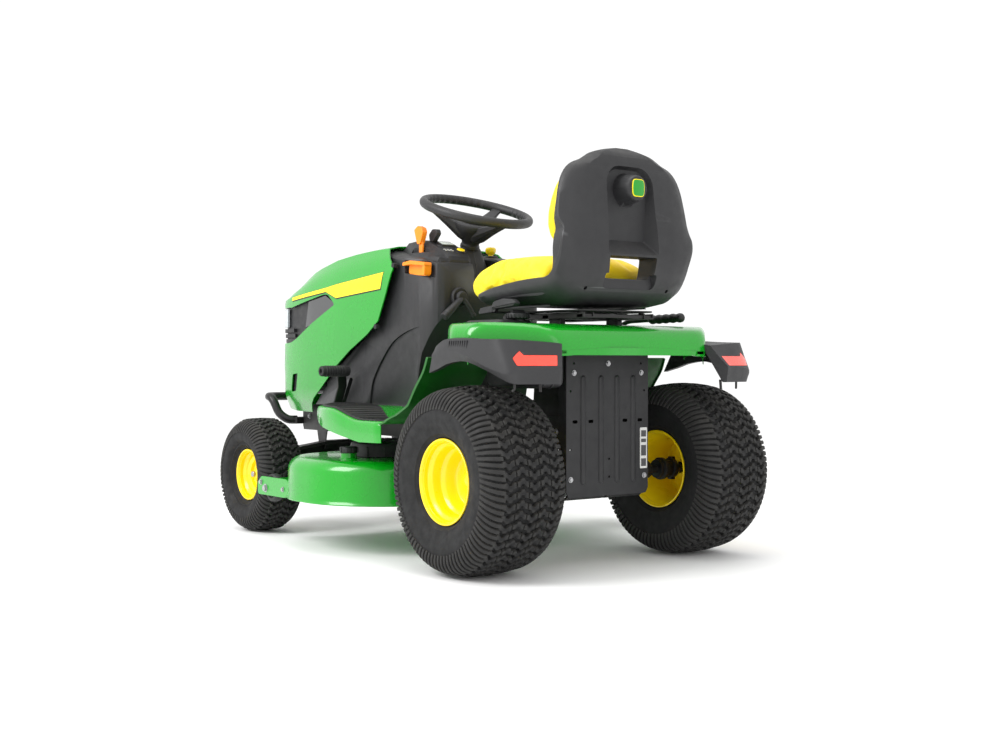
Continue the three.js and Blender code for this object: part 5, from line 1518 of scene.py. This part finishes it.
def rear_plate():
    """Rear sheet with its slots, ribs, flanges, hitch lip and blank label."""
    sheet = rounded([(-151, 214), (-142, 198), (142, 198), (151, 214), (151, 592), (-151, 592)],
                    [6, 6, 6, 6, 8, 8])
    forms = [prism("y", rectangle(s * 147, s * 151.5, 216, 590, 1), 62, 94) for s in SIDES.values()]
    lip = (prism("x", rounded([(94.5, 216), (94.5, 205), (70, 188), (66, 192), (88, 208),
                                 (88, 216)], 3), -140, 140))
    cuts = [prism("y", rectangle(x - 9, x + 9, 401.5, 410.5, 4.4), 60, 120) for x in (-120, -63, 63,
                                                                                  120)]
    for x, z in ((-136, 330), (136, 330), (-136, 490), (136, 490), (-4, 250), (-4, 300),
                 (-124, 566), (124, 566)):
        cuts.append(moved(lathe([(0, -30), (3.4, -30), (3.4, 30), (0, 30)], "y", (0, 0, 0), 16),
                          Matrix.Translation((x, 95, z))))
    piece("rear_sheet", prism("y", sheet, 90, 94.7), PLATE, "chassis", ("rear_plate",), bevel=1.0,
          cuts=cuts)
    hitch = lathe([(0, -40), (9, -40), (9, 40), (0, 40)], "z", (0, 78, 200), 24)
    piece("rear_lip", lip, PLATE, "chassis", bevel=1.0, cuts=[hitch])
    piece("rear_flanges", join(*forms), PLATE, "chassis", bevel=1.0)
    for k, x in enumerate((-94, -33, 26, 91)):
        shape = [(x - 4, 233), (x + 4, 233), (x + 8, 240), *arc(x, 524, 8, 0, 180, 10),
                 (x - 8, 240)]
        rings = levels("y", shape, ((93.5, -2.2), (95.4, -1.0), (98.0, 1.0), (99.2, 3.4)))
        piece(f"rear_rib_{k}", loft(rings), PLATE, "chassis", bevel=0, angle=50)
    heads = [bolt((x, 94.7, z), "y", 6) for x, z in ((-124, 540), (124, 540), (-136, 248),
                                                   (136, 248), (0, 566))]
    piece("rear_bolts", join(*heads), STEEL, "chassis", bevel=0.4)
    label = rectangle(-147, -120, 268, 384, 3)
    piece("blank_label", prism("y", label, 94.6, 95.3), STICKER, "chassis", bevel=0)
    fields = [prism("y", rectangle(-143, -124, z, z + h, 1), 95.1,
                    95.6) for z, h in ((274, 22), (304, 30), (342, 10), (358, 18))]
    piece("label_fields", join(*fields), CHARCOAL, "chassis", bevel=0)


def bumper():
    """Tube bumper on its plate."""
    leg = [(165, -1404, 364), (196, -1418, 364), (220, -1440, 386), (230, -1462, 432),
           (232, -1482, 446), (224, -1512, 446), (196, -1535, 446)]
    radii = [0, 14, 20, 20, 14, 16, 30]
    path = rounded(leg + [(-x, y, z) for x, y, z in reversed(leg)], radii + radii[::-1], 4)
    tube = sweep(path, 15, 20)
    plate = prism("y", rectangle(-148, 148, 336, 411, 8), -1394,
                  -1386.6)
    ears = [prism("z", rectangle(s * 118, s * 178, -1420, -1388, 6), 350,
                  374) for s in SIDES.values()]
    bolts = [bolt((s * x, -1394, z), "y", 6, -1) for s in SIDES.values() for x, z in
             ((96, 352), (96, 396))]
    piece("bumper_tube", join(tube, plate, *ears), BLACK, "chassis", ("front_bumper",), bevel=1.2)
    piece("bumper_bolts", join(*bolts), STEEL, "chassis", bevel=0.4)


def chassis():
    """Frame rails as folded channels, with their fixings, brackets and wiring tray."""
    forms, bolts = [], []
    for s in SIDES.values():
        channel = [(s * 150, 330), (s * 150, 420), (s * 118, 420), (s * 118, 416), (s * 146, 416),
                   (s * 146, 334), (s * 118, 334), (s * 118, 330)]
        forms.append(prism("y", channel, -1386, 84))
        forms.append(prism("x", rounded([(-60, 416), (60, 416), (46, 628), (-46, 628)], 6),
                           s * 140, s * 146))
        forms.append(prism("z", rectangle(s * 96, s * 146, -58, 58, 6), 621, 626))
        for y in (-1340, -1150, -960, -700, -470, -230, -60, 50):
            bolts.append(bolt((s * 150, y, 378), "x", 7, s))
        hanger = [(-1292, 420), (-1198, 420), (-1210, 330), (-1228, 262), (-1262, 262),
                  (-1280, 330)]
        forms.append(prism("x", rounded(hanger, 10), s * 150.2, s * 154))
    for y in (-1384, -960, -470, 72):
        forms.append(prism("y", rectangle(-146, 146, 336, 414, 4), y,
                           y + 6))
    for y in (-1291, -1207):
        forms.append(prism("y", rounded([(-148, 336), (-50, 256), (50, 256), (148, 336),
                                         (148, 400), (-148, 400)], 12), y, y + 7))
    pin = moved(lathe([(0, -46), (9, -46), (9, 46), (0, 46)], "y", (0, 0, 0), 24),
                Matrix.Translation((0, -1245, 275)))
    plate = prism("z", rectangle(-146, 146, -1330, -955, 10), 414,
                  419.5)
    hole = lathe([(0, 390), (32, 390), (32, 440), (0, 440)], "z", (0, -1130, 0), 32)
    piece("frame_rails", join(*forms, pin, plate), BLACK, "chassis", ("chassis_frame",), bevel=1.0,
          cuts=[hole])
    piece("frame_bolts", join(*bolts), STEEL, "chassis", bevel=0.4)


rear_plate()
bumper()
chassis()


# ---------------------------------------------------------------- mowing deck
# (height, draw): how far the outline is drawn in at each level of the pressing.
DECK_SKIRT = [(150, -4), (153, -5), (157, -3), (163, 0), (236, 0), (250, 2), (260, 6), (268, 12),
              (274, 20), (278, 30), (279, 40)]
DECK_TOP = 279
DECK_CENTRES = {"half": 260, "radius": 285, "front": -690, "rear": -642}
WASH_PORT = (425, -600, DECK_TOP)
WHEEL_AT = (478, -975, 168)
SPINDLE_AT = {"left": (262, -665), "right": (-262, -630)}
CRANK_Y, BLADE_Z, BELT_Z = -1130, 178, 294
FRONT_AXLE_Y, FRONT_AXLE_Z, KINGPIN_X = -1245, 190.5, 280


def block(x0, x1, y0, y1, z0, z1, radius=4):
    """Upright block with rounded corners."""
    return prism("z", rectangle(x0, x1, y0, y1, radius), z0, z1)


def rod(axis, centre, radius, half):
    """Solid round bar about its centre, with a small chamfer at each end."""
    nip = min(1.5, radius / 4)
    return lathe([(0, -half), (radius - nip, -half), (radius, -half + nip), (radius, half - nip),
                  (radius - nip, half), (0, half)], axis, centre, 28)


def tube(axis, centre, bore, radius, half):
    """Hollow round bar about its centre."""
    return lathe([(bore, -half), (radius - 1, -half), (radius, -half + 1), (radius, half - 1),
                  (radius - 1, half), (bore, half)], axis, centre, 36)


def deck_ring(z, draw):
    """Outline of the deck at one height: two lobes round the blades, nipped in between them."""
    x, r = DECK_CENTRES["half"], DECK_CENTRES["radius"] - draw
    front, rear = DECK_CENTRES["front"], DECK_CENTRES["rear"]
    ring = arc(x, front, r, -90, 0, 18) + arc(x, rear, r, 0, 90, 18)
    ring += [(110, rear + r - 7), (70, rear + r - 26), (40, rear + r - 30)]
    ring += [(-40, rear + r - 30), (-70, rear + r - 26), (-110, rear + r - 7)]
    ring += arc(-x, rear, r, 90, 180, 18) + arc(-x, front, r, 180, 270, 18)
    ring += [(-110, front - r + 7), (-70, front - r + 26), (-40, front - r + 30)]
    ring += [(40, front - r + 30), (70, front - r + 26), (110, front - r + 7)]
    return [(u, v, z) for u, v in ring]


def deck():
    """Pressed shell with its pulley covers, wheel brackets, hangers and wash port."""
    skin = loft([deck_ring(z, draw) for z, draw in DECK_SKIRT])
    hollow = [deck_ring(z, draw + 3.5) for z, draw in [(140, -5), *DECK_SKIRT[2:-1], (275.6, 40)]]
    hollow = [[(x, y, min(z, 275.6)) for x, y, z in ring] for ring in hollow[:-2]] + [hollow[-1]]
    mouth = block(-600, -480, -800, -500, 160, 262, 10)
    bores = [rod("z", (x, y, 275), 22, 15) for x, y in SPINDLE_AT.values()]
    piece("deck_skin", skin, GREEN, "deck", ("deck_shell",), bevel=1.0,
            cuts=[loft(hollow), mouth, *bores])
    for side, (x, y) in SPINDLE_AT.items():
        housing = lathe([(22, -2), (60, -2), (62, 0), (60, 3), (40, 5), (34, 11), (22, 11)], "z",
                        (x, y, DECK_TOP), 48)
        piece(f"blade_housing_{side}", housing, CASTING, "deck", bevel=0.6)
        piece(f"blade_housing_bolts_{side}", join(*(
            bolt((x + 50 * math.cos(math.radians(a)), y + 50 * math.sin(math.radians(a)), 281),
                 "z", 6)
            for a in range(30, 390, 60))), STEEL, "deck", bevel=0)
        cover = lathe([(101, 1), (104, 1), (104, 30), (100, 41), (90, 48), (46, 49), (40, 45),
                       (22, 45), (18, 49), (0, 49), (0, 46), (16, 46), (20, 42), (42, 42),
                       (48, 46), (88, 45), (98, 39), (101, 29)], "z", (x, y, DECK_TOP), 72)
        piece(f"belt_cover_{side}", cover, BLACK_PLASTIC, "deck", bevel=0.8)
        ribs = []
        for a in range(0, 360, 30):
            turn = turn_at((x, y, DECK_TOP), a)
            ribs.append(moved(prism("y", [(52, 47), (90, 46), (88, 50), (54, 51)], -2, 2), turn))
            ribs.append(moved(prism("y", [(103, 3), (107, 3), (106, 30), (103, 34)], -2, 2), turn))
        piece(f"belt_cover_ribs_{side}", join(*ribs), BLACK_PLASTIC, "deck", bevel=0.6)
    parts = []
    for s in SIDES.values():
        plate = rounded([(-1030, 152), (-1024, 146), (-846, 146), (-824, 158), (-824, 198),
                         (-840, 205), (-1004, 205), (-1030, 186)], 7)
        parts.append(mirrored(prism("x", plate, 505, 511), s))
        parts.append(mirrored(prism("y", rectangle(440, 508, 160, 205, 5), -900, -894), s))
    piece("wheel_brackets", join(*parts), GREEN, "deck", bevel=1.2)
    pins = [mirrored(rod("x", (484, -975, 168), 6, 31), s) for s in SIDES.values()]
    heads = [mirrored(bolt((511, y, z), "x", r), s) for s in SIDES.values()
             for y, z, r in ((-1006, 186, 7), (-975, 168, 10), (-858, 172, 6))]
    piece("wheel_bracket_bolts", join(*pins, *heads), STEEL, "deck", bevel=0)
    hangers, studs = [], []
    for y in (-820, -480):
        for s in SIDES.values():
            ear = rounded([(y - 24, 277), (y + 24, 277), (y + 14, 312), (y + 8, 318), (y - 8, 318),
                           (y - 14, 312)], 4)
            hangers.append(mirrored(prism("x", ear, 170, 176), s))
            hangers.append(mirrored(block(160, 190, y - 24, y + 24, 278, 282, 5), s))
            studs.append(mirrored(rod("x", (170, y, 306), 5, 10), s))
    piece("deck_hangers", join(*hangers), GREEN, "deck", bevel=0.8)
    piece("deck_hanger_pins", join(*studs), STEEL, "deck", bevel=0)
    stub = lathe([(0, -3), (30, -3), (30, 1), (25, 3), (23, 22), (0, 22)], "z", WASH_PORT, 40)
    piece("wash_port", stub, GREEN, "deck", bevel=0.8)
    cap = lathe([(0, 18), (26, 18), (27, 21), (27, 33), (24, 37), (0, 38)], "z", WASH_PORT, 40)
    grips = [moved(prism("x", [(-3, 20), (3, 20), (3, 35), (-3, 35)], 25, 29),
                   turn_at(WASH_PORT, 45 * k)) for k in range(8)]
    piece("wash_port_cap", join(cap, *grips), BLACK_PLASTIC, "deck", bevel=0.7)
    tabs = [prism("y", rounded([(-567, 266), (-470, 271), (-470, 280), (-567, 280)], 4), y - 6,
                  y + 6)
            for y in (-802, -498)]
    piece("chute_hinge_tabs", join(*tabs), GREEN, "deck", bevel=0.8)
    coil = [(-560 + 7.6 * math.cos(k * math.pi / 5), -724 + 0.8 * k,
             273 + 7.6 * math.sin(k * math.pi / 5)) for k in range(72)]
    piece("chute_hinge_bar", join(rod("y", (-560, -650, 273), 5, 160), sweep(coil, 1.4, 8)), STEEL,
          "deck", bevel=0)


def chute():
    """Hinged discharge chute, with its walls, ribs and knuckles."""
    crest = spline([(-566, 280), (-600, 280), (-642, 275), (-685, 259), (-724, 238), (-754, 206),
                    (-780, 168)], 6)
    under = [(x + 3 * (1 - k / len(crest)), z - 4) for k, (x, z) in enumerate(crest)]
    under = [(max(x, -775.5), z) for x, z in under]
    piece("chute_hood", prism("y", crest + under[::-1], -785, -515), BLACK_PLASTIC, "chute",
            ("discharge_chute",), bevel=1.2)
    side = [(x + 1, z - 1) for x, z in crest[2:]] + [(-770, 166), (-700, 170), (-612, 172)]
    walls = [prism("y", side, y, y + 4) for y in (-785, -519)]
    lips = [prism("y", rounded([(-778, 166), (-770, 163), (-612, 168), (-610, 176), (-770, 172)],
                               2),
                  y, y + 10) for y in (-791, -519)]
    piece("chute_walls", join(*walls, *lips), BLACK_PLASTIC, "chute", bevel=1.0)
    ribs = []
    for y in (-752, -716, -680, -644, -608, -572, -536):
        band = crest[6:-4]
        raised = [(x - 1.5, z + 3) for x, z in band[2:-2]]
        ribs.append(prism("y", [band[0], *raised, band[-1], *[(x + 1, z - 2) for x,
                                                              z in band[::-1]]],
                          y - 3, y + 3))
    piece("chute_ribs", join(*ribs), BLACK_PLASTIC, "chute", bevel=0.8)
    knuckles = []
    for y in (-740, -650, -560):
        knuckles.append(tube("y", (-560, y, 273), 5.8, 8.6, 14))
        knuckles.append(prism("y", rounded([(-590, 270), (-566, 268), (-566, 279), (-590, 278)], 2),
                              y - 14, y + 14))
    piece("chute_knuckles", join(*knuckles), BLACK_PLASTIC, "chute", bevel=0.6)


def gauge_wheels():
    """Anti-scalp wheels at the front of the deck."""
    for side, s in SIDES.items():
        profile = [(6.8, -15), (13, -15), (15, -11), (29, -10), (33, -14), (40, -14), (44, -10),
                   (45, -5), (45, 5), (44, 10), (40, 14), (33, 14), (29, 10), (15, 11), (13, 15),
                   (6.8, 15)]
        piece(f"deck_wheel_{side}", lathe(profile, "x", (s * WHEEL_AT[0], *WHEEL_AT[1:]), 60),
              BLACK_PLASTIC,
                f"gauge_wheel_{side}", (f"gauge_wheel_{side}",), bevel=0.8)
        spokes = []
        for a in range(0, 360, 45):
            turn = turn_at((s * WHEEL_AT[0], *WHEEL_AT[1:]), a, "X")
            spokes.append(moved(prism("x", [(-2, 14), (2, 14), (2, 31), (-2, 31)], -13, 13), turn))
        piece(f"deck_wheel_spokes_{side}", join(*spokes), BLACK_PLASTIC, f"gauge_wheel_{side}",
              bevel=0.8)


def blades():
    """Blade bars with their raised wings, and the spindle with its pulley above each."""
    for side, (x, y) in SPINDLE_AT.items():
        rings = []
        for t in (-4, 60, 130, 160, 175, 190, 205, 220, 235, 246, 250):
            wing = 17 * ease((t - 150) / 80)
            edge = 2.0 * ease((t - 120) / 20)
            rings.append([(-30, t, 1.4), (-20 - edge, t, 0), (6, t, 0), (16, t, wing * 0.25),
                          (30, t, wing), (29, t, wing + 5), (14, t, wing * 0.25 + 5), (4, t, 5),
                          (-16 + edge * 3, t, 5), (-30, t, 3.4 - edge)])
        half = loft(rings)
        other = moved(half, Matrix.Rotation(math.pi, 4, "Z"))
        at = Matrix.Translation((x, y, BLADE_Z))
        piece(f"blade_bar_{side}", join(moved(half, at), moved(other, at)), STEEL, f"blade_{side}",
                (f"blade_{side}",), bevel=0.3)
        hub = lathe([(0, -12), (10, -12), (12, -10), (16, -9), (16, 0), (30, 0), (30, 13), (21, 20),
                     (21, 52), (28, 55), (28, 60), (12, 60), (12, 112), (22, 113), (62, 113),
                     (66, 115), (66, 117), (60, 120), (66, 123), (66, 125), (62, 127), (30, 124),
                     (20, 127), (12, 128), (12, 132), (0, 132)], "z", (x, y, BLADE_Z), 48)
        piece(f"blade_spindle_{side}", hub, CASTING, f"blade_{side}", bevel=0.4)
        piece(f"blade_bolt_{side}", bolt((x, y, BLADE_Z - 12), "z", 11, flip=-1), STEEL,
              f"blade_{side}", bevel=0)


def front_axle():
    """Rocking beam, tie rod, and a spindle at each end."""
    half = [(298, 236), (298, 272), (292, 277), (262, 277), (236, 281), (130, 296), (0, 298)]
    low = [(0, 252), (118, 252), (236, 238), (262, 231), (292, 231)]
    beam = half + [(-x, z) for x, z in half[-2::-1]] + [(-x, z) for x, z in low[::-1]] + low[1:]
    pockets = []
    for s in SIDES.values():
        web = rounded([(34, 262), (118, 262), (238, 247), (252, 247), (252, 268), (236, 271),
                       (124, 286), (34, 287)], 6)
        for y0, y1 in ((-1275, -1255), (-1235, -1215)):
            pockets.append(mirrored(prism("y", web, y0, y1), s))
    kings = [rod("z", (s * KINGPIN_X, FRONT_AXLE_Y, 250), 9.5, 50) for s in SIDES.values()]
    pivot = rod("y", (0, FRONT_AXLE_Y, 275), 9.6, 50)
    piece("axle_beam", prism("y", beam, -1269, -1221), BLACK, "front_axle", ("front_axle",),
          bevel=1.6,
            cuts=[*pockets, *kings, pivot])
    rings = [tube("z", (s * KINGPIN_X, FRONT_AXLE_Y, 254.5), 9.6, 21, 24.5) for s in SIDES.values()]
    rings.append(tube("y", (0, FRONT_AXLE_Y, 275), 9.6, 24, 25.5))
    piece("axle_bosses", join(*rings), BLACK, "front_axle", bevel=1.0)
    rod_ends = [lathe([(0, -10), (6, -10), (9, -8), (10, -5), (10, 5), (7, 8), (7, 9), (0, 9)], "z",
                      (s * (KINGPIN_X - 4), -1145, 238), 32) for s in SIDES.values()]
    nuts = [bolt((s * 245, -1145, 238), "x", 9) for s in SIDES.values()]
    bar = sweep([(-268, -1145, 238), (-240, -1145, 238), (240, -1145, 238), (268, -1145, 238)],
                6.5, 18)
    piece("tie_bar", join(bar, *rod_ends, *nuts), STEEL, "tie_rod", ("tie_rod",), bevel=0.4)
    for side, s in SIDES.items():
        body = f"spindle_{side}"
        knuckle = loft([[(x * s, y, z) for x, y in inset(rectangle(263, 299, -1262, -1228, 9),
                                                         draw)]
            for z, draw in ((174, 5), (178, 1), (183, 0), (219, 0), (225, 2), (228, 6))])
        piece(f"knuckle_{side}", knuckle, BLACK, body, (body,), bevel=0.8)
        king = lathe([(0, 180), (9, 180), (9, 280), (14, 281), (14, 286), (10, 291), (0, 292)], "z",
                     (s * KINGPIN_X, FRONT_AXLE_Y, 0), 32)
        stub = rod("x", (s * 352, FRONT_AXLE_Y, FRONT_AXLE_Z), 10, 72)
        piece(f"king_pin_{side}", join(king, stub), STEEL, body, bevel=0.4)
        arm = rounded([(262, -1246), (298, -1246), (292, -1190), (291, -1142), (286, -1132),
                       (270, -1132), (265, -1142), (266, -1190)], 6)
        piece(f"steer_arm_{side}", mirrored(prism("z", arm, 214, 222), s), BLACK, body, bevel=1.2)
        piece(f"ball_stud_{side}", rod("z", (s * (KINGPIN_X - 4), -1145, 218), 8, 6), STEEL, body,
              bevel=0)


def transaxle():
    """Gear case, axle tubes, pump and drive pulley."""
    case = rounded([(-100, -85), (-60, -85), (-55, -86), (72, -86), (100, -85), (100, 55),
                    (-100, 55)], (26, 4, 4, 4, 26, 30, 30))
    rings = levels("z", case, ((192, 14), (196, 7), (203, 2), (212, 0), (262, 0), (272, 3), (278,
                                                                                             9),
                             (280, 16)))
    piece("gear_case", loft(rings), CASTING, "chassis", ("transaxle",), bevel=0)
    seam = levels("z", case, ((231, -3), (232, -6), (240, -6), (241, -3)))
    ribs = [prism("x", [(-88, 206), (58, 206), (58, 268), (-88, 268)], x - 2.5, x + 2.5)
            for x in (-75, -50, -25, 25, 50, 75)]
    piece("gear_case_ribs", join(loft(seam), *ribs), CASTING, "chassis", bevel=1.2)
    edge = [(sx * 96, y) for sx in (-1, 1) for y in (-70, -15, 40)] + [(-45, 58), (45, 58)]
    piece("gear_case_bolts", join(*(bolt((x, y, 241), "z", 6) for x, y in edge)), STEEL, "chassis",
          bevel=0)
    for side, s in SIDES.items():
        housing = lathe([(14, 236), (24, 236), (26, 234), (26, 216), (24, 214), (24, 118),
                         (28, 108),
                         (40, 100), (40, 88), (14, 88)], "x", (0, 0, 254), 48, flip=s)
        piece(f"axle_tube_{side}", housing, BLACK, "chassis", bevel=0.8)
    pump = levels("z", rectangle(-55, 75, -120, -60, 14), ((205, 6), (210, 1), (262, 0), (270, 5)))
    fan = lathe([(0, -6), (80, -6), (80, -4), (73, 0), (80, 4), (80, 6), (60, 6), (56, 3), (24, 3),
                 (20, 9), (0, 9)], "z", (0, -20, BELT_Z), 60)
    piece("pump_case", loft(pump), CASTING, "chassis", bevel=0.6)
    piece("drive_pulley", join(fan, rod("z", (0, -20, 284), 12, 8)), STEEL, "chassis", bevel=0.4)


def engine():
    """V-twin engine, crank pulley, muffler and drive belt."""
    case = levels("z", rectangle(-150, 150, -1285, -1000, 34),
                  ((420.5, 4), (424, 0), (436, 0), (440, 8), (540, 10), (552, 16), (560, 26)))
    piece("crankcase", loft(case), CASTING, "chassis", ("engine_block",), bevel=0.8)
    for side, s in SIDES.items():
        axis = Vector((70 * s, -50, 70)).normalized()
        turn = Matrix.Translation((60 * s, -1200, 490)) @ axis.to_track_quat("Z",
                                                                             "Y").to_matrix().to_4x4()
        fins = [moved(prism("z", rectangle(-46, 46, -44, 44, 12),
                            30 + 9 * k, 34 + 9 * k), turn) for k in range(7)]
        core = moved(rod("z", (0, 0, 50), 36, 50), turn)
        piece(f"cylinder_{side}", join(core, *fins), CASTING, "chassis", bevel=0.6)
        lid = moved(pillow("z", rectangle(-42, 42, -38, 38, 12), 92, 108, 6),
                    turn)
        piece(f"valve_cover_{side}", lid, BLACK, "chassis", bevel=0.6)
    shroud = lathe([(0, 0), (140, 0), (146, 4), (146, 40), (138, 62), (120, 76), (112, 80),
                    (108, 86),
                    (100, 86), (96, 80), (0, 80)], "z", (0, CRANK_Y, 556), 72)
    piece("fan_shroud", shroud, BLACK_PLASTIC, "chassis", bevel=1.0)
    vanes = []
    for k in range(24):
        turn = Matrix.Translation((0, CRANK_Y, 636)) @ Matrix.Rotation(k * math.pi / 12, 4, "Z")
        vanes.append(moved(prism("y", [(26, -2), (98, -2), (98, 5), (26, 7)], -2, 2), turn))
    centre = lathe([(0, -2), (30, -2), (30, 6), (22, 12), (0, 13)], "z", (0, CRANK_Y, 636), 40)
    piece("fan_screen", join(centre, *vanes), BLACK, "chassis", bevel=0.5)
    case = levels("z", rectangle(-140, 140, -1076, -986, 24),
                  ((556, 0), (620, 0), (622, -2), (628, -2), (630, 0), (672, 3), (684, 9),
                        (690, 20)))
    piece("air_cleaner", loft(case), BLACK_PLASTIC, "chassis", bevel=0.8)
    piece("engine_sump", rod("z", (0, CRANK_Y, 404), 26, 20), CASTING, "chassis", bevel=0)
    pulley = [(0, 260), (54, 260), (58, 262), (58, 264), (52, 268), (58, 272), (58, 274), (30, 275),
              (28, 277), (28, 286), (30, 287), (58, 288), (58, 290), (52, 294), (58, 298), (58,
                                                                                            300),
              (14, 301), (12, 303), (12, 383), (0, 383)]
    piece("crank_pulley", lathe(pulley, "z", (0, CRANK_Y, 0), 60), STEEL, "engine_crank",
            ("engine_pulley",), bevel=0.3)
    piece("crank_bolt", bolt((0, CRANK_Y, 260), "z", 13, flip=-1), STEEL, "engine_crank", bevel=0)
    can = lathe([(0, -130), (34, -130), (40, -128), (43, -124), (43, -120), (40, -117), (42, -112),
                 (42, 112), (40, 117), (43, 120), (43, 124), (40, 128), (34, 130), (0, 130)], "x",
                (0, -1345, 500), 48)
    pipe = sweep(spline([(-100, -1345, 470), (-100, -1350, 440), (-100, -1372, 428)], 5), 14, 20)
    straps = [tube("x", (x, -1345, 500), 40, 44, 7) for x in (-60, 60)]
    piece("muffler_can", join(can, pipe, *straps), STEEL, "chassis", ("muffler",), bevel=0.4)
    sides = [(57.3, -1.4), (59, -2.0), (64.4, -2.4), (65, -1.6), (65, 1.6), (64.4, 2.4), (59, 2.0),
             (57.3, 1.4)]
    path = [(0, CRANK_Y, 0, a) for a in range(180, 361, 6)] + [(0, -20, 21, a) for a in range(0,
                                                                                              181, 6)]
    belt = [[(u + (r + more) * math.cos(math.radians(a)),
              v + (r + more) * math.sin(math.radians(a)),
              BELT_Z + z) for r, z in sides] for u, v, more, a in path]
    piece("belt_loop", loft(belt, caps=False, loop=True), RUBBER, "chassis", ("drive_belt",),
          bevel=0)


def fuel():
    """Tank under the left fender, its filler tray and cap."""
    tank = rectangle(-150, 110, 500, 618, 26)
    rings = levels("x", tank, ((168, 12), (171, 5), (178, 0), (204, 0), (205, -3), (209, -3),
                             (210, 0),
                             (236, 0), (243, 5), (246, 12)))
    piece("tank_body", loft(rings), CHARCOAL, "chassis", ("fuel_tank",), bevel=0.6)
    neck = tube("z", (215, -40, 650), 15, 22, 38)
    tray = levels("z", rounded(
        [(172, -196), (300, -188), (304, -14), (172, -14)], 26), ((660, -1), (672, 0), (680, 2),
                                                                  (685, 7), (687, 14), (686,
                                                                                        20), (680,
                                                                                              24)))
    piece("filler_tray", loft(tray), BLACK_PLASTIC, "chassis", bevel=0)
    piece("filler_neck", neck, BLACK_PLASTIC, "chassis", bevel=0.5)
    cap = lathe([(0, -8), (30, -8), (33, -5), (34, 2), (32, 8), (26, 10), (20, 9), (0, 9)], "z",
                (215, -40, 697), 48)
    ribs = []
    for k in range(20):
        turn = Matrix.Translation((215, -40, 697)) @ Matrix.Rotation(k * math.pi / 10, 4, "Z")
        ribs.append(moved(prism("x", [(-2, -6), (2, -6), (2, 6), (-2, 6)], 31, 35.5), turn))
    bar = [[(215 + x, -40 + y, 697 + z) for x, y in inset(rectangle(-23, 23, -6, 6, 5), draw)]
        for z, draw in ((8, 0), (15, 1), (18, 3))]
    piece("tank_cap", join(cap, *ribs, loft(bar)), BLACK_PLASTIC, "fuel_cap", ("fuel_cap",),
          bevel=0.6)


def deck_lift():
    """Lever on the right fender, and the quadrant that it comes through."""
    stem = spline([(-300, -200, 636), (-300, -196, 670), (-300, -160, 692), (-300, -100, 696),
                   (-300, -40, 697)], 6)
    boss = lathe([(0, -12), (12, -12), (14, -10), (14, 10), (12, 12), (0, 12)], "x",
                 (-300, -200, 636), 32)
    piece("lift_arm", join(sweep(stem, 7, 20), boss), BLACK, "lift_lever", ("lift_lever",),
          bevel=0.4)
    path = [(-300, y, 697 + (y + 50) * 0.022) for y in range(-60, 87, 2)]

    def thick(t):
        body = 13 - 1.1 * math.cos(t * 2 * math.pi * 5)
        return body * min(1.0, math.sin(min(1.0, t * 8) * math.pi / 2) * 0.4 + 0.6,
                          math.sqrt(max(0.0, 1 - max(0.0, (t - 0.93) / 0.071) ** 2)) + 0.02)
    piece("lift_grip", sweep(path, thick, 28), BLACK_PLASTIC, "lift_lever", bevel=0, angle=50)
    plan = rectangle(-322, -278, -262, -96, 12)
    rings = [[(x, y, fender_height(y) + z) for x, y in inset(plan, draw)]
             for z, draw in ((-6, 0), (3, 0), (5, 2))]
    slot = prism("z", rectangle(-311, -289, -246, -112, 8), 600, 720)
    piece("lift_quadrant", loft(rings), BLACK_PLASTIC, "chassis", bevel=0, cuts=[slot])


deck()
chute()
gauge_wheels()
blades()
front_axle()
transaxle()
engine()
fuel()
deck_lift()




def floor():
    """A broad pale sheet under the machine, with a slight unevenness."""
    size, steps = 40.0, 40
    verts = [(size * (i / steps - 0.5), size * (j / steps - 0.5), 0.0)
             for j in range(steps + 1) for i in range(steps + 1)]
    n = steps + 1
    faces = [(j * n + i, j * n + i + 1, (j + 1) * n + i + 1, (j + 1) * n + i)
             for j in range(steps) for i in range(steps)]
    mesh = bpy.data.meshes.new("floor")
    mesh.from_pydata(verts, [], faces)
    mesh.materials.append(finish("floor", rgb(252, 252, 251), 0.7, tint=0.005, tint_scale=1.0,
                                 grain=0.05, grain_scale=60, spread=0.05))
    sheet = bpy.data.objects.new("floor", mesh)
    sheet.location.z = -0.001
    scene.collection.objects.link(sheet)


floor()
